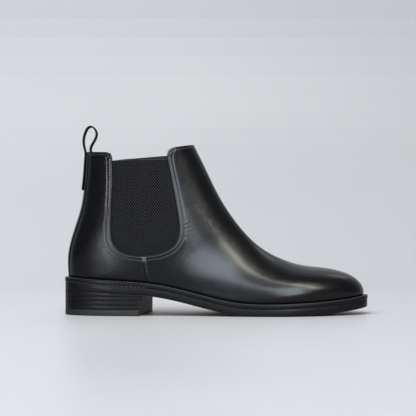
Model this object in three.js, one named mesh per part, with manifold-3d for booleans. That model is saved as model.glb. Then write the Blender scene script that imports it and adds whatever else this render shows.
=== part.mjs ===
// A men's right chelsea boot, EU 43, as the separate pieces it is made from.
// Millimetres. +X points to the toe, +Y to the inner side of the foot and +Z up.
import * as THREE from 'three';
import { mergeVertices } from 'three/addons/utils/BufferGeometryUtils.js';
import Module from 'manifold-3d';

const wasm = await Module();
wasm.setup();

// ---------------------------------------------------------------- driving dimensions

const GAP = 0.3; // clearance between pieces that touch
const LEATHER = 1.4; // upper leather
const STIFFENER = 1.0; // heel counter, toe puff and elastic share this layer
const LINING = 0.9;
const STRIP = 1.0; // strip over the back seam
const TAB = 1.3; // pull tab webbing
const WELT = 4.0;
const OUTSOLE = 7.6;
const WELT_MARGIN = 5.0; // how far the welt stands out from the upper
const OUTSOLE_MARGIN = 4.6;
const LASTED_DEPTH = 3.7; // how far the upper reaches down inside the welt
const STRIP_HALF_WIDTH = 10.5;
const TAB_HALF_WIDTH = 8;
const HEEL_LAYERS = [0, 5.9, 10.3, 14.6, 18.8]; // underside of each heel layer
const NAIL_LENGTH = 9.2;
const NAIL_RADIUS = 1.0;
const NAIL_RECESS = 0.4;
const NAIL_PLACES = [[12, -14], [12, 14], [40, -25], [40, 25], [68, -24], [70, 24]];
const BREAST_OUTER = 75.5; // front of the heel on its outer side
const BREAST_INNER = 85.4; // and on its inner side
const BREAST_HALF_WIDTH = 33;

// Sections through the foot, from the top line to the toe tip. Each lies in a plane that
// holds the front ridge point, the back ridge point and the direction across the boot:
// front x, z, back x, z, half width out, in, middle y, front and back fullness.
const SECTIONS = [
  [129.0, 169.6, 21.4, 162.6, 33.0, 33.0, 0.0, 1.00, 0.86],
  [135.0, 158.0, 21.1, 145.0, 32.6, 32.6, 0.0, 1.00, 0.86],
  [140.7, 146.3, 19.2, 127.5, 32.6, 32.6, 0.0, 1.02, 0.86],
  [146.4, 134.0, 17.4, 109.0, 33.2, 33.0, 0.0, 1.05, 0.85],
  [152.4, 121.8, 11.6, 91.0, 34.4, 33.8, 0.0, 1.08, 0.83],
  [159.0, 110.2, 6.0, 74.0, 35.6, 34.6, 0.0, 1.10, 0.78],
  [166.0, 99.6, 2.5, 57.0, 36.4, 34.8, 0.0, 1.12, 0.72],
  [173.6, 89.2, 4.2, 38.0, 36.6, 34.4, 0.0, 1.12, 0.68],
  [182.0, 79.3, 5.2, 18.5, 36.6, 33.6, 0.5, 1.10, 0.68],
  [191.4, 70.2, 36.0, 6.0, 36.6, 32.8, 1.0, 1.08, 0.74],
  [202.0, 62.6, 72.0, 1.0, 38.0, 33.0, 1.5, 1.06, 0.82],
  [213.5, 56.6, 108.0, -5.0, 41.5, 36.0, 2.0, 1.04, 0.90],
  [225.5, 52.0, 145.0, -11.0, 46.0, 41.5, 2.5, 1.02, 0.94],
  [237.5, 48.7, 180.0, -13.0, 49.6, 46.0, 3.0, 1.00, 0.96],
  [250.0, 47.3, 211.0, -11.0, 49.4, 46.6, 3.5, 0.98, 0.96],
  [263.5, 45.9, 238.0, -7.5, 45.0, 42.4, 4.2, 0.96, 0.94],
  [277.0, 43.2, 261.0, -3.0, 37.0, 35.0, 4.8, 0.94, 0.92],
  [289.0, 38.4, 280.0, 1.5, 28.5, 27.0, 5.3, 0.92, 0.90],
  [297.0, 31.6, 292.5, 6.5, 18.5, 17.5, 5.6, 0.90, 0.90],
  [300.6, 25.5, 299.4, 12.0, 8.5, 8.0, 5.8, 0.95, 0.95],
  [300.6, 19.5, 300.6, 19.5, 0.0, 0.0, 5.8, 1.00, 1.00],
];
const TOE_END = SECTIONS.length - 1;

// Height of the welt's top face, every SEAT_STEP from the back of the heel to the toe.
const SEAT_STEP = 19;
const SEAT_HEIGHTS = [
  [37.4], [36.1], [34.9], [33.8], [32.7], [30.4], [26.3], [21.4], [16.3],
  [12.6], [11.5], [11.5], [12.0], [12.9], [14.2], [16.2], [19.2],
];

// Lines seen from the side, as x, z.
const COLLAR_FRONT = [
  [140, 172.2], [128, 169.9], [117.6, 168], [108.2, 166.2], [104.6, 163.4], [103.4, 157.9],
];
const COLLAR_BACK = [[47.6, 155.4], [46.1, 159.2], [43, 161.4], [37, 161.8], [20, 162.6], [-20, 163]];
const WINDOW_FRONT = [
  [103.4, 157.9], [104.4, 150], [107, 137], [110.2, 121], [113.4, 103], [115.2, 86], [111.6, 72],
  [99, 62.6], [79, 59],
];
const WINDOW_BACK = [[79, 59], [61, 61.6], [50, 69.8], [46.9, 83], [47.2, 103], [48, 130], [47.6, 155.4]];
const SIDE_SEAM = [[79.2, 53], [81, 42]];
const SIDE_SEAM_FOOT = 83.2; // x where the side seam reaches the welt
const LINING_SEAM = [[74, 46]];
const LINING_SEAM_FOOT = 70;
const INNER_SETBACK = 4; // the inner quarter's top corner lies this much further back
const GORE_TOP = [[38, 152.2], [113, 159.1]];
const GORE_BOTTOM = [[108, 60], [94, 54.5], [79, 53], [60, 55.5], [48, 62]];
const GORE_SIDES = [66, 150]; // lowest and highest points that its sides take from the window
const GORE_MARGIN = 6; // how far the elastic runs on behind the leather
const COUNTER_FOOT = 66; // x where the heel counter ends at the seat
const COUNTER_EDGE = [[60, 44], [44, 54], [34, 74], [-10, 86]];
const PUFF_FOOT = 246;
const PUFF_EDGE = [[320, 60], [256, 60]];
const STRIP_TOP = 161.7;
const TAB_FOOT_OUTSIDE = 124; // height of the pull tab's lower end outside the boot
const TAB_FOOT_INSIDE = 142;

// Cutting shapes reach past the boot: across it, behind the heel and beyond the toe.
const REACH = 80;
const BEHIND = -20;
const BEYOND = 320;

const MATERIALS = {
  calf: new THREE.MeshStandardMaterial({ color: 0x111214, roughness: 0.38, metalness: 0 }),
  elastic: new THREE.MeshStandardMaterial({ color: 0x0d0d0f, roughness: 0.9, metalness: 0 }),
  webbing: new THREE.MeshStandardMaterial({ color: 0x141416, roughness: 0.7, metalness: 0 }),
  lining: new THREE.MeshStandardMaterial({ color: 0x2b2826, roughness: 0.7, metalness: 0 }),
  board: new THREE.MeshStandardMaterial({ color: 0x9a6f49, roughness: 0.85, metalness: 0 }),
  cork: new THREE.MeshStandardMaterial({ color: 0xa87c4f, roughness: 0.95, metalness: 0 }),
  steel: new THREE.MeshStandardMaterial({ color: 0x9b9da0, roughness: 0.4, metalness: 1 }),
  edge: new THREE.MeshStandardMaterial({ color: 0x131313, roughness: 0.45, metalness: 0 }),
  sole: new THREE.MeshStandardMaterial({ color: 0x8c5534, roughness: 0.6, metalness: 0 }),
  rubber: new THREE.MeshStandardMaterial({ color: 0x161616, roughness: 0.75, metalness: 0 }),
  brass: new THREE.MeshStandardMaterial({ color: 0xb08d4a, roughness: 0.35, metalness: 1 }),
};

// ---------------------------------------------------------------- the foot's shape

// A smooth uniform cubic B-spline through a list of rows, at parameter t in rows.
function smoothRow(rows, t) {
  const last = rows.length - 1;
  const first = Math.min(Math.max(Math.floor(t), 0), last - 1);
  const u = t - first;
  const row = (i) => {
    if (i < 0) return rows[0].map((value, k) => 2 * value - rows[1][k]);
    if (i > last) return rows[last].map((value, k) => 2 * value - rows[last - 1][k]);
    return rows[i];
  };
  const weights = [(1 - u) ** 3, 3 * u ** 3 - 6 * u ** 2 + 4, -3 * u ** 3 + 3 * u ** 2 + 3 * u + 1, u ** 3];
  return row(first).map((_, k) => weights.reduce((sum, w, i) => sum + (w / 6) * row(first - 1 + i)[k], 0));
}

function seatHeight(x) {
  const t = THREE.MathUtils.clamp(x / SEAT_STEP, 0, SEAT_HEIGHTS.length - 1);
  return smoothRow(SEAT_HEIGHTS, t)[0];
}

// A point of the boot's outer surface. The angle is 0 on the front ridge and pi on the
// back ridge; it is negative on the outer side of the foot.
function lastPoint(s, angle) {
  const [fx, fz, bx, bz, outer, inner, middle, frontPower, backPower] = smoothRow(SECTIONS, s);
  const along = (1 - Math.cos(angle)) / 2;
  const power = Math.cos(angle) > 0 ? frontPower : backPower;
  const halfWidth = Math.sin(angle) < 0 ? -outer : inner;
  const y = middle + halfWidth * Math.abs(Math.sin(angle)) ** power;
  return new THREE.Vector3(fx + along * (bx - fx), y, fz + along * (bz - fz));
}

function lastNormal(s, angle) {
  const stepS = 0.05;
  const stepAngle = 0.04;
  const ahead = Math.min(s + stepS, TOE_END);
  const down = lastPoint(ahead, angle).sub(lastPoint(ahead - 2 * stepS, angle));
  const around = lastPoint(s, angle + stepAngle).sub(lastPoint(s, angle - stepAngle));
  return down.cross(around).normalize();
}

// The angle at which section s meets the line where the upper turns under the foot.
function featherAngle(s) {
  const [fx, fz, bx, bz] = smoothRow(SECTIONS, s);
  let low = 0;
  let high = 1;
  for (let i = 0; i < 40; i += 1) {
    const k = (low + high) / 2;
    const above = fz + k * (bz - fz) > seatHeight(fx + k * (bx - fx)) - LASTED_DEPTH;
    if (above) low = k;
    else high = k;
  }
  return Math.acos(1 - 2 * low);
}

// Where the feather line crosses the back ridge, searched between two sections.
function featherEnd(open, closed) {
  let [low, high] = [open, closed];
  for (let i = 0; i < 40; i += 1) {
    const s = (low + high) / 2;
    if (featherAngle(s) < Math.PI - 1e-3) low = s;
    else high = s;
  }
  return high;
}

// ---------------------------------------------------------------- solids

function toSolid(geometry) {
  geometry.deleteAttribute('normal');
  geometry.deleteAttribute('uv');
  const merged = mergeVertices(geometry, 1e-4);
  const vertProperties = new Float32Array(merged.attributes.position.array);
  const triVerts = new Uint32Array(merged.index.array);
  return new wasm.Manifold(new wasm.Mesh({ numProp: 3, vertProperties, triVerts }));
}

function toMesh(name, solid, material) {
  const { vertProperties, triVerts } = solid.getMesh();
  const geometry = new THREE.BufferGeometry();
  geometry.setAttribute('position', new THREE.BufferAttribute(vertProperties, 3));
  geometry.setIndex(new THREE.BufferAttribute(triVerts, 1));
  const mesh = new THREE.Mesh(geometry, MATERIALS[material]);
  mesh.name = name;
  return mesh;
}

// The boot's outer shape as a solid, grown by offset; top is how far it passes the top line.
function lastSolid(offset, top = 0.8) {
  const rows = 32;
  const columns = 28;
  const toeStop = TOE_END - 0.15;
  const positions = [];
  const indices = [];
  for (let i = 0; i < rows; i += 1) {
    const s = i === 0 ? -top : (toeStop * (i - 1)) / (rows - 2);
    for (let j = 0; j < columns; j += 1) {
      const angle = -Math.PI + (2 * Math.PI * j) / columns;
      const point = lastPoint(s, angle).addScaledVector(lastNormal(s, angle), offset);
      positions.push(point.x, point.y, point.z);
    }
  }
  const ridgeMiddle = lastPoint(-top, Math.PI / 2);
  positions.push(ridgeMiddle.x, 0, ridgeMiddle.z);
  const toe = lastPoint(TOE_END, 0);
  positions.push(toe.x + offset, toe.y, toe.z);
  const topCentre = rows * columns;
  for (let j = 0; j < columns; j += 1) {
    const next = (j + 1) % columns;
    indices.push(topCentre, j, next);
    for (let i = 0; i < rows - 1; i += 1) {
      const [a, b] = [i * columns + j, i * columns + next];
      indices.push(a, a + columns, b, b, a + columns, b + columns);
    }
    const toeRow = (rows - 1) * columns;
    indices.push(toeRow + j, topCentre + 1, toeRow + next);
  }
  const geometry = new THREE.BufferGeometry();
  geometry.setAttribute('position', new THREE.Float32BufferAttribute(positions, 3));
  geometry.setIndex(indices);
  return toSolid(geometry);
}

function shell(outside, inside) {
  return lastSolid(outside).subtract(lastSolid(inside, 1.3));
}

// A prism standing on the side view, between two y values.
function sidePrism(points, yLow = -REACH, yHigh = REACH) {
  const outline = new THREE.Shape(points.map(([x, z]) => new THREE.Vector2(x, z)));
  const geometry = new THREE.ExtrudeGeometry(outline, { depth: yHigh - yLow, bevelEnabled: false });
  geometry.rotateX(Math.PI / 2);
  geometry.translate(0, yHigh, 0);
  return toSolid(geometry);
}

function planPrism(points, zLow = -REACH, zHigh = REACH) {
  const outline = new THREE.Shape(points.map(([x, y]) => new THREE.Vector2(x, y)));
  const geometry = new THREE.ExtrudeGeometry(outline, { depth: zHigh - zLow, bevelEnabled: false });
  geometry.translate(0, 0, zLow);
  return toSolid(geometry);
}

function curveThrough(points, steps) {
  const curve = new THREE.SplineCurve(points.map(([x, z]) => new THREE.Vector2(x, z)));
  return curve.getPoints(steps).map((point) => [point.x, point.y]);
}

// The line at a given height above the welt's top face, from one x to another.
function seatLine(rise, from, to) {
  const steps = Math.ceil(Math.abs(to - from) / 12);
  return Array.from({ length: steps + 1 }, (_, i) => {
    const x = from + ((to - from) * i) / steps;
    return [x, seatHeight(x) + rise];
  });
}

// Everything between two heights above the welt's top face.
function seatBand(low, high) {
  return sidePrism([...seatLine(low, BEHIND, BEYOND), ...seatLine(high, BEYOND, BEHIND)]);
}

function shifted(points, dx, dz) {
  return points.map(([x, z]) => [x + dx, z + dz]);
}

// The same outline with its top moved back, as on the inner side of the boot.
function setBack(points) {
  return points.map(([x, z]) => [x - INNER_SETBACK * THREE.MathUtils.smoothstep(z, 136, 156), z]);
}

// The sole's outline in plan, margin outside the feather line.
function soleOutline(margin) {
  const half = 34;
  const heelEnd = featherEnd(10, 7);
  const toeEnd = featherEnd(18, TOE_END);
  const side = (sign) => Array.from({ length: half }, (_, i) => {
    const s = heelEnd + (toeEnd - heelEnd) * (0.5 - 0.5 * Math.cos((Math.PI * (i + 0.5)) / half));
    const point = lastPoint(s, sign * featherAngle(s));
    return [point.x, point.y];
  });
  const loop = [...side(-1), ...side(1).reverse()];
  return loop.map(([x, y], i) => {
    const [beforeX, beforeY] = loop[(i + loop.length - 1) % loop.length];
    const [afterX, afterY] = loop[(i + 1) % loop.length];
    const along = new THREE.Vector2(afterX - beforeX, afterY - beforeY).normalize();
    return [x + margin * along.y, y - margin * along.x];
  });
}

// ---------------------------------------------------------------- the upper

const BELOW = -LASTED_DEPTH;
const liningTop = LEATHER + STIFFENER + 2 * GAP;
const liningInside = liningTop + LINING;
const windowFront = curveThrough(WINDOW_FRONT, 22);
const windowBack = curveThrough(WINDOW_BACK, 22);

function frontOutline(seam, seamFoot, topDrop) {
  return [
    ...seatLine(BELOW, seamFoot + GAP / 2, BEYOND),
    [BEYOND, 180],
    ...shifted(COLLAR_FRONT, 0, -topDrop).slice(0, -1),
    ...shifted([...windowFront, ...seam], GAP / 2, 0),
  ];
}

function backOutline(seam, seamFoot, topDrop) {
  return [
    ...seatLine(BELOW, BEHIND, seamFoot - GAP / 2),
    ...shifted([...seam.toReversed(), ...windowBack], -GAP / 2, 0),
    ...shifted(COLLAR_BACK, 0, -topDrop).slice(1),
  ];
}

function upperPieces() {
  const leather = shell(0, -LEATHER);
  const quarter = backOutline(SIDE_SEAM, SIDE_SEAM_FOOT, 0);
  const stripOutline = [...seatLine(GAP, BEHIND, 60), [60, STRIP_TOP], [BEHIND, STRIP_TOP]];
  const strip = shell(GAP + STRIP, GAP)
    .intersect(sidePrism(stripOutline, -STRIP_HALF_WIDTH, STRIP_HALF_WIDTH));
  const pieces = {
    vamp: leather.intersect(sidePrism(frontOutline(SIDE_SEAM, SIDE_SEAM_FOOT, 0))),
    quarter_outer: leather.intersect(sidePrism(quarter, -REACH, -GAP / 2)),
    quarter_inner: leather.intersect(sidePrism(setBack(quarter), GAP / 2, REACH)),
    back_strip: strip,
  };
  return Object.entries(pieces).map(([name, solid]) => toMesh(name, solid, 'calf'));
}

// The elastic panel runs behind the leather all round its window, but not at its top edge.
function goreOutline() {
  const [low, high] = GORE_SIDES;
  const alongside = (line, dx) => shifted(line, dx, 0).filter(([, z]) => z > low && z < high);
  const front = alongside(windowFront, GORE_MARGIN);
  const back = alongside(windowBack, -GORE_MARGIN);
  return [GORE_TOP[1], ...front, ...GORE_BOTTOM, ...back, GORE_TOP[0]];
}

function gorePieces() {
  const layer = shell(-LEATHER - GAP, -LEATHER - GAP - STIFFENER);
  const nearMiddle = 5;
  return [
    toMesh('gore_outer', layer.intersect(sidePrism(goreOutline(), -REACH, -nearMiddle)), 'elastic'),
    toMesh('gore_inner', layer.intersect(sidePrism(goreOutline(), nearMiddle, REACH)), 'elastic'),
  ];
}

function stiffenerPieces() {
  const layer = shell(-LEATHER - GAP, -LEATHER - GAP - STIFFENER);
  const counter = [...seatLine(BELOW, BEHIND, COUNTER_FOOT), ...COUNTER_EDGE];
  const puff = [...seatLine(BELOW, PUFF_FOOT, BEYOND), ...PUFF_EDGE];
  return [
    toMesh('heel_counter', layer.intersect(sidePrism(counter)), 'board'),
    toMesh('toe_puff', layer.intersect(sidePrism(puff)), 'board'),
  ];
}

function liningPieces() {
  const layer = shell(-liningTop, -liningInside);
  const topDrop = 0.4;
  const front = frontOutline(LINING_SEAM, LINING_SEAM_FOOT, topDrop);
  const back = backOutline(LINING_SEAM, LINING_SEAM_FOOT, topDrop);
  const backBlank = sidePrism(back, -REACH, 0).add(sidePrism(setBack(back), 0, REACH));
  return [
    toMesh('vamp_lining', layer.intersect(sidePrism(front)), 'lining'),
    toMesh('heel_lining', layer.intersect(backBlank), 'lining'),
  ];
}

// ---------------------------------------------------------------- the pull tab

const TAB_FOLD = 163.1; // where the sewn legs pass over the collar's edge
const TAB_SADDLE = [[18.7, 162.9], [27, 162.9], [26.4, 163.9], [19.3, 163.9]];
// The free loop's outside, starting under the point (22.3, 168) that it bends over at.
const LOOP = [
  [22.3, 164.2], [19.2, 167], [17.4, 171], [17.5, 176.5], [19.2, 182.6], [21.4, 186.9], [25, 189.2],
  [29.2, 187.2], [31.7, 182.6], [31.4, 178], [29, 172.9], [25.3, 167.6],
];

function tabLeg(outside, foot) {
  const behindBoot = [[BEHIND, foot], [60, foot], [60, TAB_FOLD], [BEHIND, TAB_FOLD]];
  return shell(outside, outside - TAB).intersect(sidePrism(behindBoot, -TAB_HALF_WIDTH, TAB_HALF_WIDTH));
}

function tabAnchor() {
  const outerLeg = tabLeg(GAP + STRIP + GAP + TAB, TAB_FOOT_OUTSIDE);
  const innerLeg = tabLeg(-liningInside - GAP, TAB_FOOT_INSIDE);
  const saddle = sidePrism(TAB_SADDLE, -TAB_HALF_WIDTH, TAB_HALF_WIDTH);
  return toMesh('pull_tab_anchor', outerLeg.add(innerLeg).add(saddle), 'webbing');
}

function tabLoop() {
  const steps = 36;
  const line = new THREE.CatmullRomCurve3(LOOP.map(([x, z]) => new THREE.Vector3(x, z, 0)), true);
  const outside = [];
  const hole = [];
  for (let i = 0; i < steps; i += 1) {
    const point = line.getPointAt(i / steps);
    const along = line.getTangentAt(i / steps);
    outside.push([point.x, point.y]);
    hole.push([point.x + TAB * along.y, point.y - TAB * along.x]);
  }
  const loop = sidePrism(outside, -TAB_HALF_WIDTH, TAB_HALF_WIDTH).subtract(sidePrism(hole));
  return toMesh('pull_tab_loop', loop, 'webbing');
}

// ---------------------------------------------------------------- the bottom

// Flat layers inside the boot: underside and top face, measured from the welt's top face.
const LAYERS = { sock: [0.7, 1.7], insole: [-1.6, 0.4], filler: [-3.9, -1.9], shank: [-3.6, -2.2] };
const SHANK_PLAN = [[62, -7], [170, -6], [170, 8], [62, 7]];
const SHANK_SLOT = [[61.5, -7.5], [170.5, -6.5], [170.5, 8.5], [61.5, 7.5]];

function insolePieces() {
  const inside = lastSolid(-liningInside - GAP, 0);
  const layer = (name) => inside.intersect(seatBand(...LAYERS[name]));
  return [
    toMesh('sock_liner', layer('sock'), 'lining'),
    toMesh('insole', layer('insole'), 'board'),
    toMesh('cork_filler', layer('filler').subtract(planPrism(SHANK_SLOT)), 'cork'),
    toMesh('shank', planPrism(SHANK_PLAN).intersect(seatBand(...LAYERS.shank)), 'steel'),
  ];
}

function solePieces() {
  const welt = planPrism(soleOutline(WELT_MARGIN))
    .intersect(seatBand(-WELT, 0))
    .subtract(lastSolid(GAP, 0));
  const outsole = planPrism(soleOutline(OUTSOLE_MARGIN), 0)
    .intersect(seatBand(-WELT - GAP - OUTSOLE, -WELT - GAP));
  return [toMesh('welt', welt, 'edge'), toMesh('outsole', outsole, 'sole')];
}

function nailSolid(x, y, radius, low, high) {
  const geometry = new THREE.CylinderGeometry(radius, radius, high - low, 8);
  geometry.rotateX(Math.PI / 2);
  geometry.translate(x, y, (low + high) / 2);
  return toSolid(geometry);
}

function heelPieces() {
  const names = ['heel_top_piece', 'heel_lift_1', 'heel_lift_2', 'heel_lift_3', 'heel_wedge'];
  const slope = (BREAST_INNER - BREAST_OUTER) / (2 * BREAST_HALF_WIDTH);
  const breast = (y) => (BREAST_INNER + BREAST_OUTER) / 2 + slope * y;
  const heelPlan = [[BEHIND, -REACH], [breast(-REACH), -REACH], [breast(REACH), REACH], [BEHIND, REACH]];
  const plan = planPrism(soleOutline(OUTSOLE_MARGIN)).intersect(planPrism(heelPlan));
  const underOutsole = seatBand(-REACH, -WELT - OUTSOLE - 2 * GAP);
  const drill = NAIL_LENGTH + 2 * GAP;
  const holes = NAIL_PLACES.map(([x, y]) => nailSolid(x, y, NAIL_RADIUS + GAP, -1, drill));
  return names.map((name, i) => {
    const low = HEEL_LAYERS[i];
    const high = i + 1 < names.length ? HEEL_LAYERS[i + 1] - GAP : REACH;
    const slab = planPrism([[BEHIND, -REACH], [BEYOND, -REACH], [BEYOND, REACH], [BEHIND, REACH]], low, high);
    const layer = plan.intersect(slab).intersect(underOutsole);
    const drilled = low < NAIL_LENGTH ? holes.reduce((solid, hole) => solid.subtract(hole), layer) : layer;
    return toMesh(name, drilled, i === 0 ? 'rubber' : 'edge');
  });
}

function heelNails() {
  return NAIL_PLACES.map(([x, y], i) => {
    const nail = nailSolid(x, y, NAIL_RADIUS, NAIL_RECESS, NAIL_LENGTH);
    return toMesh(`heel_nail_${i + 1}`, nail, 'brass');
  });
}

// ---------------------------------------------------------------- assembly

const boot = new THREE.Group();
boot.add(...upperPieces(), ...gorePieces(), ...stiffenerPieces(), ...liningPieces());
boot.add(tabAnchor(), tabLoop());
boot.add(...insolePieces(), ...solePieces(), ...heelPieces(), ...heelNails());

// The origin is on the ground under the middle of the boot's length and width.
const extent = new THREE.Box3().setFromObject(boot);
const centre = extent.getCenter(new THREE.Vector3());
boot.position.set(-centre.x, -centre.y, -extent.min.z);

const part = new THREE.Group();
part.add(boot);

export default part;
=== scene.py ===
import math

import bmesh
import bpy
import numpy as np
from bpy.props import FloatProperty, FloatVectorProperty, IntProperty, PointerProperty
from mathutils import Matrix, Vector


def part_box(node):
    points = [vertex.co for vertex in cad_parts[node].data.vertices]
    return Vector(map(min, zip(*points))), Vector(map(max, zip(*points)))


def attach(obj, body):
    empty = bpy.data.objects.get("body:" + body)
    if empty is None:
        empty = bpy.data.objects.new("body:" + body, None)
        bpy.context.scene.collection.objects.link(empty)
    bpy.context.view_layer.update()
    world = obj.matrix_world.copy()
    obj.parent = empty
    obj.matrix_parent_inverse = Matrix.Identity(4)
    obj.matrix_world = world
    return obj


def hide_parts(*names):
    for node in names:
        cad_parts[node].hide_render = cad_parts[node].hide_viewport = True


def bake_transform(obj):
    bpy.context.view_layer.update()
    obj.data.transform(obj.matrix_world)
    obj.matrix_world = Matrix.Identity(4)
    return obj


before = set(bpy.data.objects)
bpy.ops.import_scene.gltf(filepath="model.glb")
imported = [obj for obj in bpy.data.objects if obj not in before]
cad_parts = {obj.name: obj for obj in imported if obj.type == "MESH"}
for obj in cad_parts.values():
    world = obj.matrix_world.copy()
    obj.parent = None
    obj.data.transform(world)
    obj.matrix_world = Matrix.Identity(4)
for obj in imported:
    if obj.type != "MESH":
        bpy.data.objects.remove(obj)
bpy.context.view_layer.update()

bl_info = {
    "name": "Chelsea Boot",
    "version": (1, 0, 0),
    "blender": (4, 5, 0),
    "location": "3D View > Sidebar > Boot",
    "description": "Models the leather, elastic, webbing, sole and heel of a chelsea boot",
    "category": "Add Mesh",
}

MM = 0.001

# ---------------------------------------------------------------- the last, in millimetres

# Sections through the foot, from the top line to the toe tip: front x, z, back x, z,
# half width out, half width in, middle y, front and back fullness.
SECTIONS = np.array([
    [129.0, 169.6, 21.4, 162.6, 33.0, 33.0, 0.0, 1.00, 0.86],
    [135.0, 158.0, 21.1, 145.0, 32.6, 32.6, 0.0, 1.00, 0.86],
    [140.7, 146.3, 19.2, 127.5, 32.6, 32.6, 0.0, 1.02, 0.86],
    [146.4, 134.0, 17.4, 109.0, 33.2, 33.0, 0.0, 1.05, 0.85],
    [152.4, 121.8, 11.6, 91.0, 34.4, 33.8, 0.0, 1.08, 0.83],
    [159.0, 110.2, 6.0, 74.0, 35.6, 34.6, 0.0, 1.10, 0.78],
    [166.0, 99.6, 2.5, 57.0, 36.4, 34.8, 0.0, 1.12, 0.72],
    [173.6, 89.2, 4.2, 38.0, 36.6, 34.4, 0.0, 1.12, 0.68],
    [182.0, 79.3, 5.2, 18.5, 36.6, 33.6, 0.5, 1.10, 0.68],
    [191.4, 70.2, 36.0, 6.0, 36.6, 32.8, 1.0, 1.08, 0.74],
    [202.0, 62.6, 72.0, 1.0, 38.0, 33.0, 1.5, 1.06, 0.82],
    [213.5, 56.6, 108.0, -5.0, 41.5, 36.0, 2.0, 1.04, 0.90],
    [225.5, 52.0, 145.0, -11.0, 46.0, 41.5, 2.5, 1.02, 0.94],
    [237.5, 48.7, 180.0, -13.0, 49.6, 46.0, 3.0, 1.00, 0.96],
    [250.0, 47.3, 211.0, -11.0, 49.4, 46.6, 3.5, 0.98, 0.96],
    [263.5, 45.9, 238.0, -7.5, 45.0, 42.4, 4.2, 0.96, 0.94],
    [277.0, 43.2, 261.0, -3.0, 37.0, 35.0, 4.8, 0.94, 0.92],
    [289.0, 38.4, 280.0, 1.5, 28.5, 27.0, 5.3, 0.92, 0.90],
    [297.0, 31.6, 292.5, 6.5, 18.5, 17.5, 5.6, 0.90, 0.90],
    [300.6, 25.5, 299.4, 12.0, 8.5, 8.0, 5.8, 0.95, 0.95],
    [300.6, 19.5, 300.6, 19.5, 0.0, 0.0, 5.8, 1.00, 1.00],
])
TOE_END = len(SECTIONS) - 1
TOE_TOP = 18.0  # section where the toe's ridge turns down
COLLAR_SECTIONS = (1.5, -0.8)  # sections between which the ridges meet the collar
HEEL_FEATHER = (10.0, 7.0)  # sections between which the heel's back meets the welt
TOE_FEATHER = (18.0, float(TOE_END))

SEAT_STEP = 19.0
SEAT_HEIGHTS = np.array([
    37.4, 36.1, 34.9, 33.8, 32.7, 30.4, 26.3, 21.4, 16.3, 12.6, 11.5, 11.5, 12.0, 12.9, 14.2, 16.2, 19.2])
TUCK = 2.6  # height over the welt at which the upper begins to turn in
LASTED_DEPTH = 3.7  # how far the upper reaches down inside the welt

# Outlines seen from the side, as x and z.
# Each top line runs round the collar's corner, at CORNER, and on down the window's edge.
FRONT_EDGE = [(140, 172.2), (128, 169.9), (117.6, 168), (108.2, 166.2), (104.6, 163.4),
              (103.4, 157.9), (104.4, 150), (107, 137), (110.2, 121), (113.4, 103), (115.2, 86),
              (111.6, 72), (99, 62.6), (79, 59)]
BACK_EDGE = [(8, 162.9), (20, 162.6), (37, 161.9), (42.5, 161.6), (45.9, 159.6), (47.6, 155.4),
             (48, 130), (47.2, 103), (46.9, 83), (50, 69.8), (61, 61.6), (79, 59)]
CORNER = 4
INNER_SETBACK = 4.0  # the inner quarter's top corner lies this much further back
SIDE_SEAM = [(79, 59), (79.2, 53), (81, 42)]
SEAM_FOOT = 83.2
SEAM_ROW = 2.4  # from the side seam to its row of stitches, towards the toe
SEAM_GAP = 0.15  # each leather stops this far from the middle of the seam
FRONT_CORNER = (112.6, 73.6)  # where the window turns under, front and back
BACK_CORNER = (49.4, 70.8)
INSTEP_SECTION = 6.8  # the shaft's front ends and the foot begins
HEEL_SECTION = 5.2
FRONT_FOOT = 122.0
BACK_FOOT = 45.0
GORE_SIDES = {
    "top": [(40, 152.4), (112.5, 159.0)],
    "bottom": [(46, 64), (60, 56), (79, 53), (101, 56.5), (118, 67)],
    "left": [(40, 152.4), (42, 130), (41.2, 103), (40.8, 83), (46, 64)],
    "right": [(112.5, 159.0), (113.5, 137), (116.5, 121), (119.5, 103), (121.2, 84), (118, 67)],
}

WELT_THICKNESS = 4.0
WELT_MARGIN = 5.0
OUTSOLE_THICKNESS = 7.6
OUTSOLE_MARGIN = 4.6
LAYER_GAP = 0.3
HEEL_LAYERS = [0.2, 5.9, 10.3, 14.6, 18.8]
BREAST = (75.5, 85.4, 33.0)  # front of the heel outside, inside, and the half width between them
NAIL_PLACES = [(12, -14), (12, 14), (40, -25), (40, 25), (68, -24), (70, 24)]
TAPE_HALF_WIDTH = 8.0
STRIP_HALF_WIDTH = 10.5
STRIP_TOP = 161.6

# The frame's own places turn these millimetres into its metres.
SHIFT = np.array([
    62.0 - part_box("shank")[0].x / MM,
    -(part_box("pull_tab_anchor")[0].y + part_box("pull_tab_anchor")[1].y) / 2 / MM,
    0.0,
])


def settings():
    return bpy.context.scene.boot


def bspline(rows, t):
    """Uniform cubic B-spline through phantom ends."""
    flat = rows.ndim == 1
    rows = rows[:, None] if flat else rows
    t = np.asarray(t, float)
    padded = np.vstack([2 * rows[0] - rows[1], rows, 2 * rows[-1] - rows[-2]])
    i = np.clip(np.floor(t).astype(int), 0, len(rows) - 2)
    u = (t - i)[..., None]
    weights = [(1 - u) ** 3 / 6, (3 * u**3 - 6 * u**2 + 4) / 6,
               (-3 * u**3 + 3 * u**2 + 3 * u + 1) / 6, u**3 / 6]
    found = sum(w * padded[i + k] for k, w in enumerate(weights))
    return found[..., 0] if flat else found


def seat(x):
    """Height of the welt's top along the boot."""
    return bspline(SEAT_HEIGHTS, np.clip(np.asarray(x, float) / SEAT_STEP, 0, len(SEAT_HEIGHTS) - 1))


def last_point(s, angle):
    """A point of the last; negative angles are on the outer side of the foot."""
    r = bspline(SECTIONS, s)
    along = (1 - np.cos(angle)) / 2
    power = np.where(np.cos(angle) > 0, r[..., 7], r[..., 8])
    half_width = np.where(np.sin(angle) < 0, -r[..., 4], r[..., 5])
    y = r[..., 6] + half_width * np.abs(np.sin(angle)) ** power
    x = r[..., 0] + along * (r[..., 2] - r[..., 0])
    z = r[..., 1] + along * (r[..., 3] - r[..., 1])
    return np.stack([x, y, z], -1)


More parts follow.
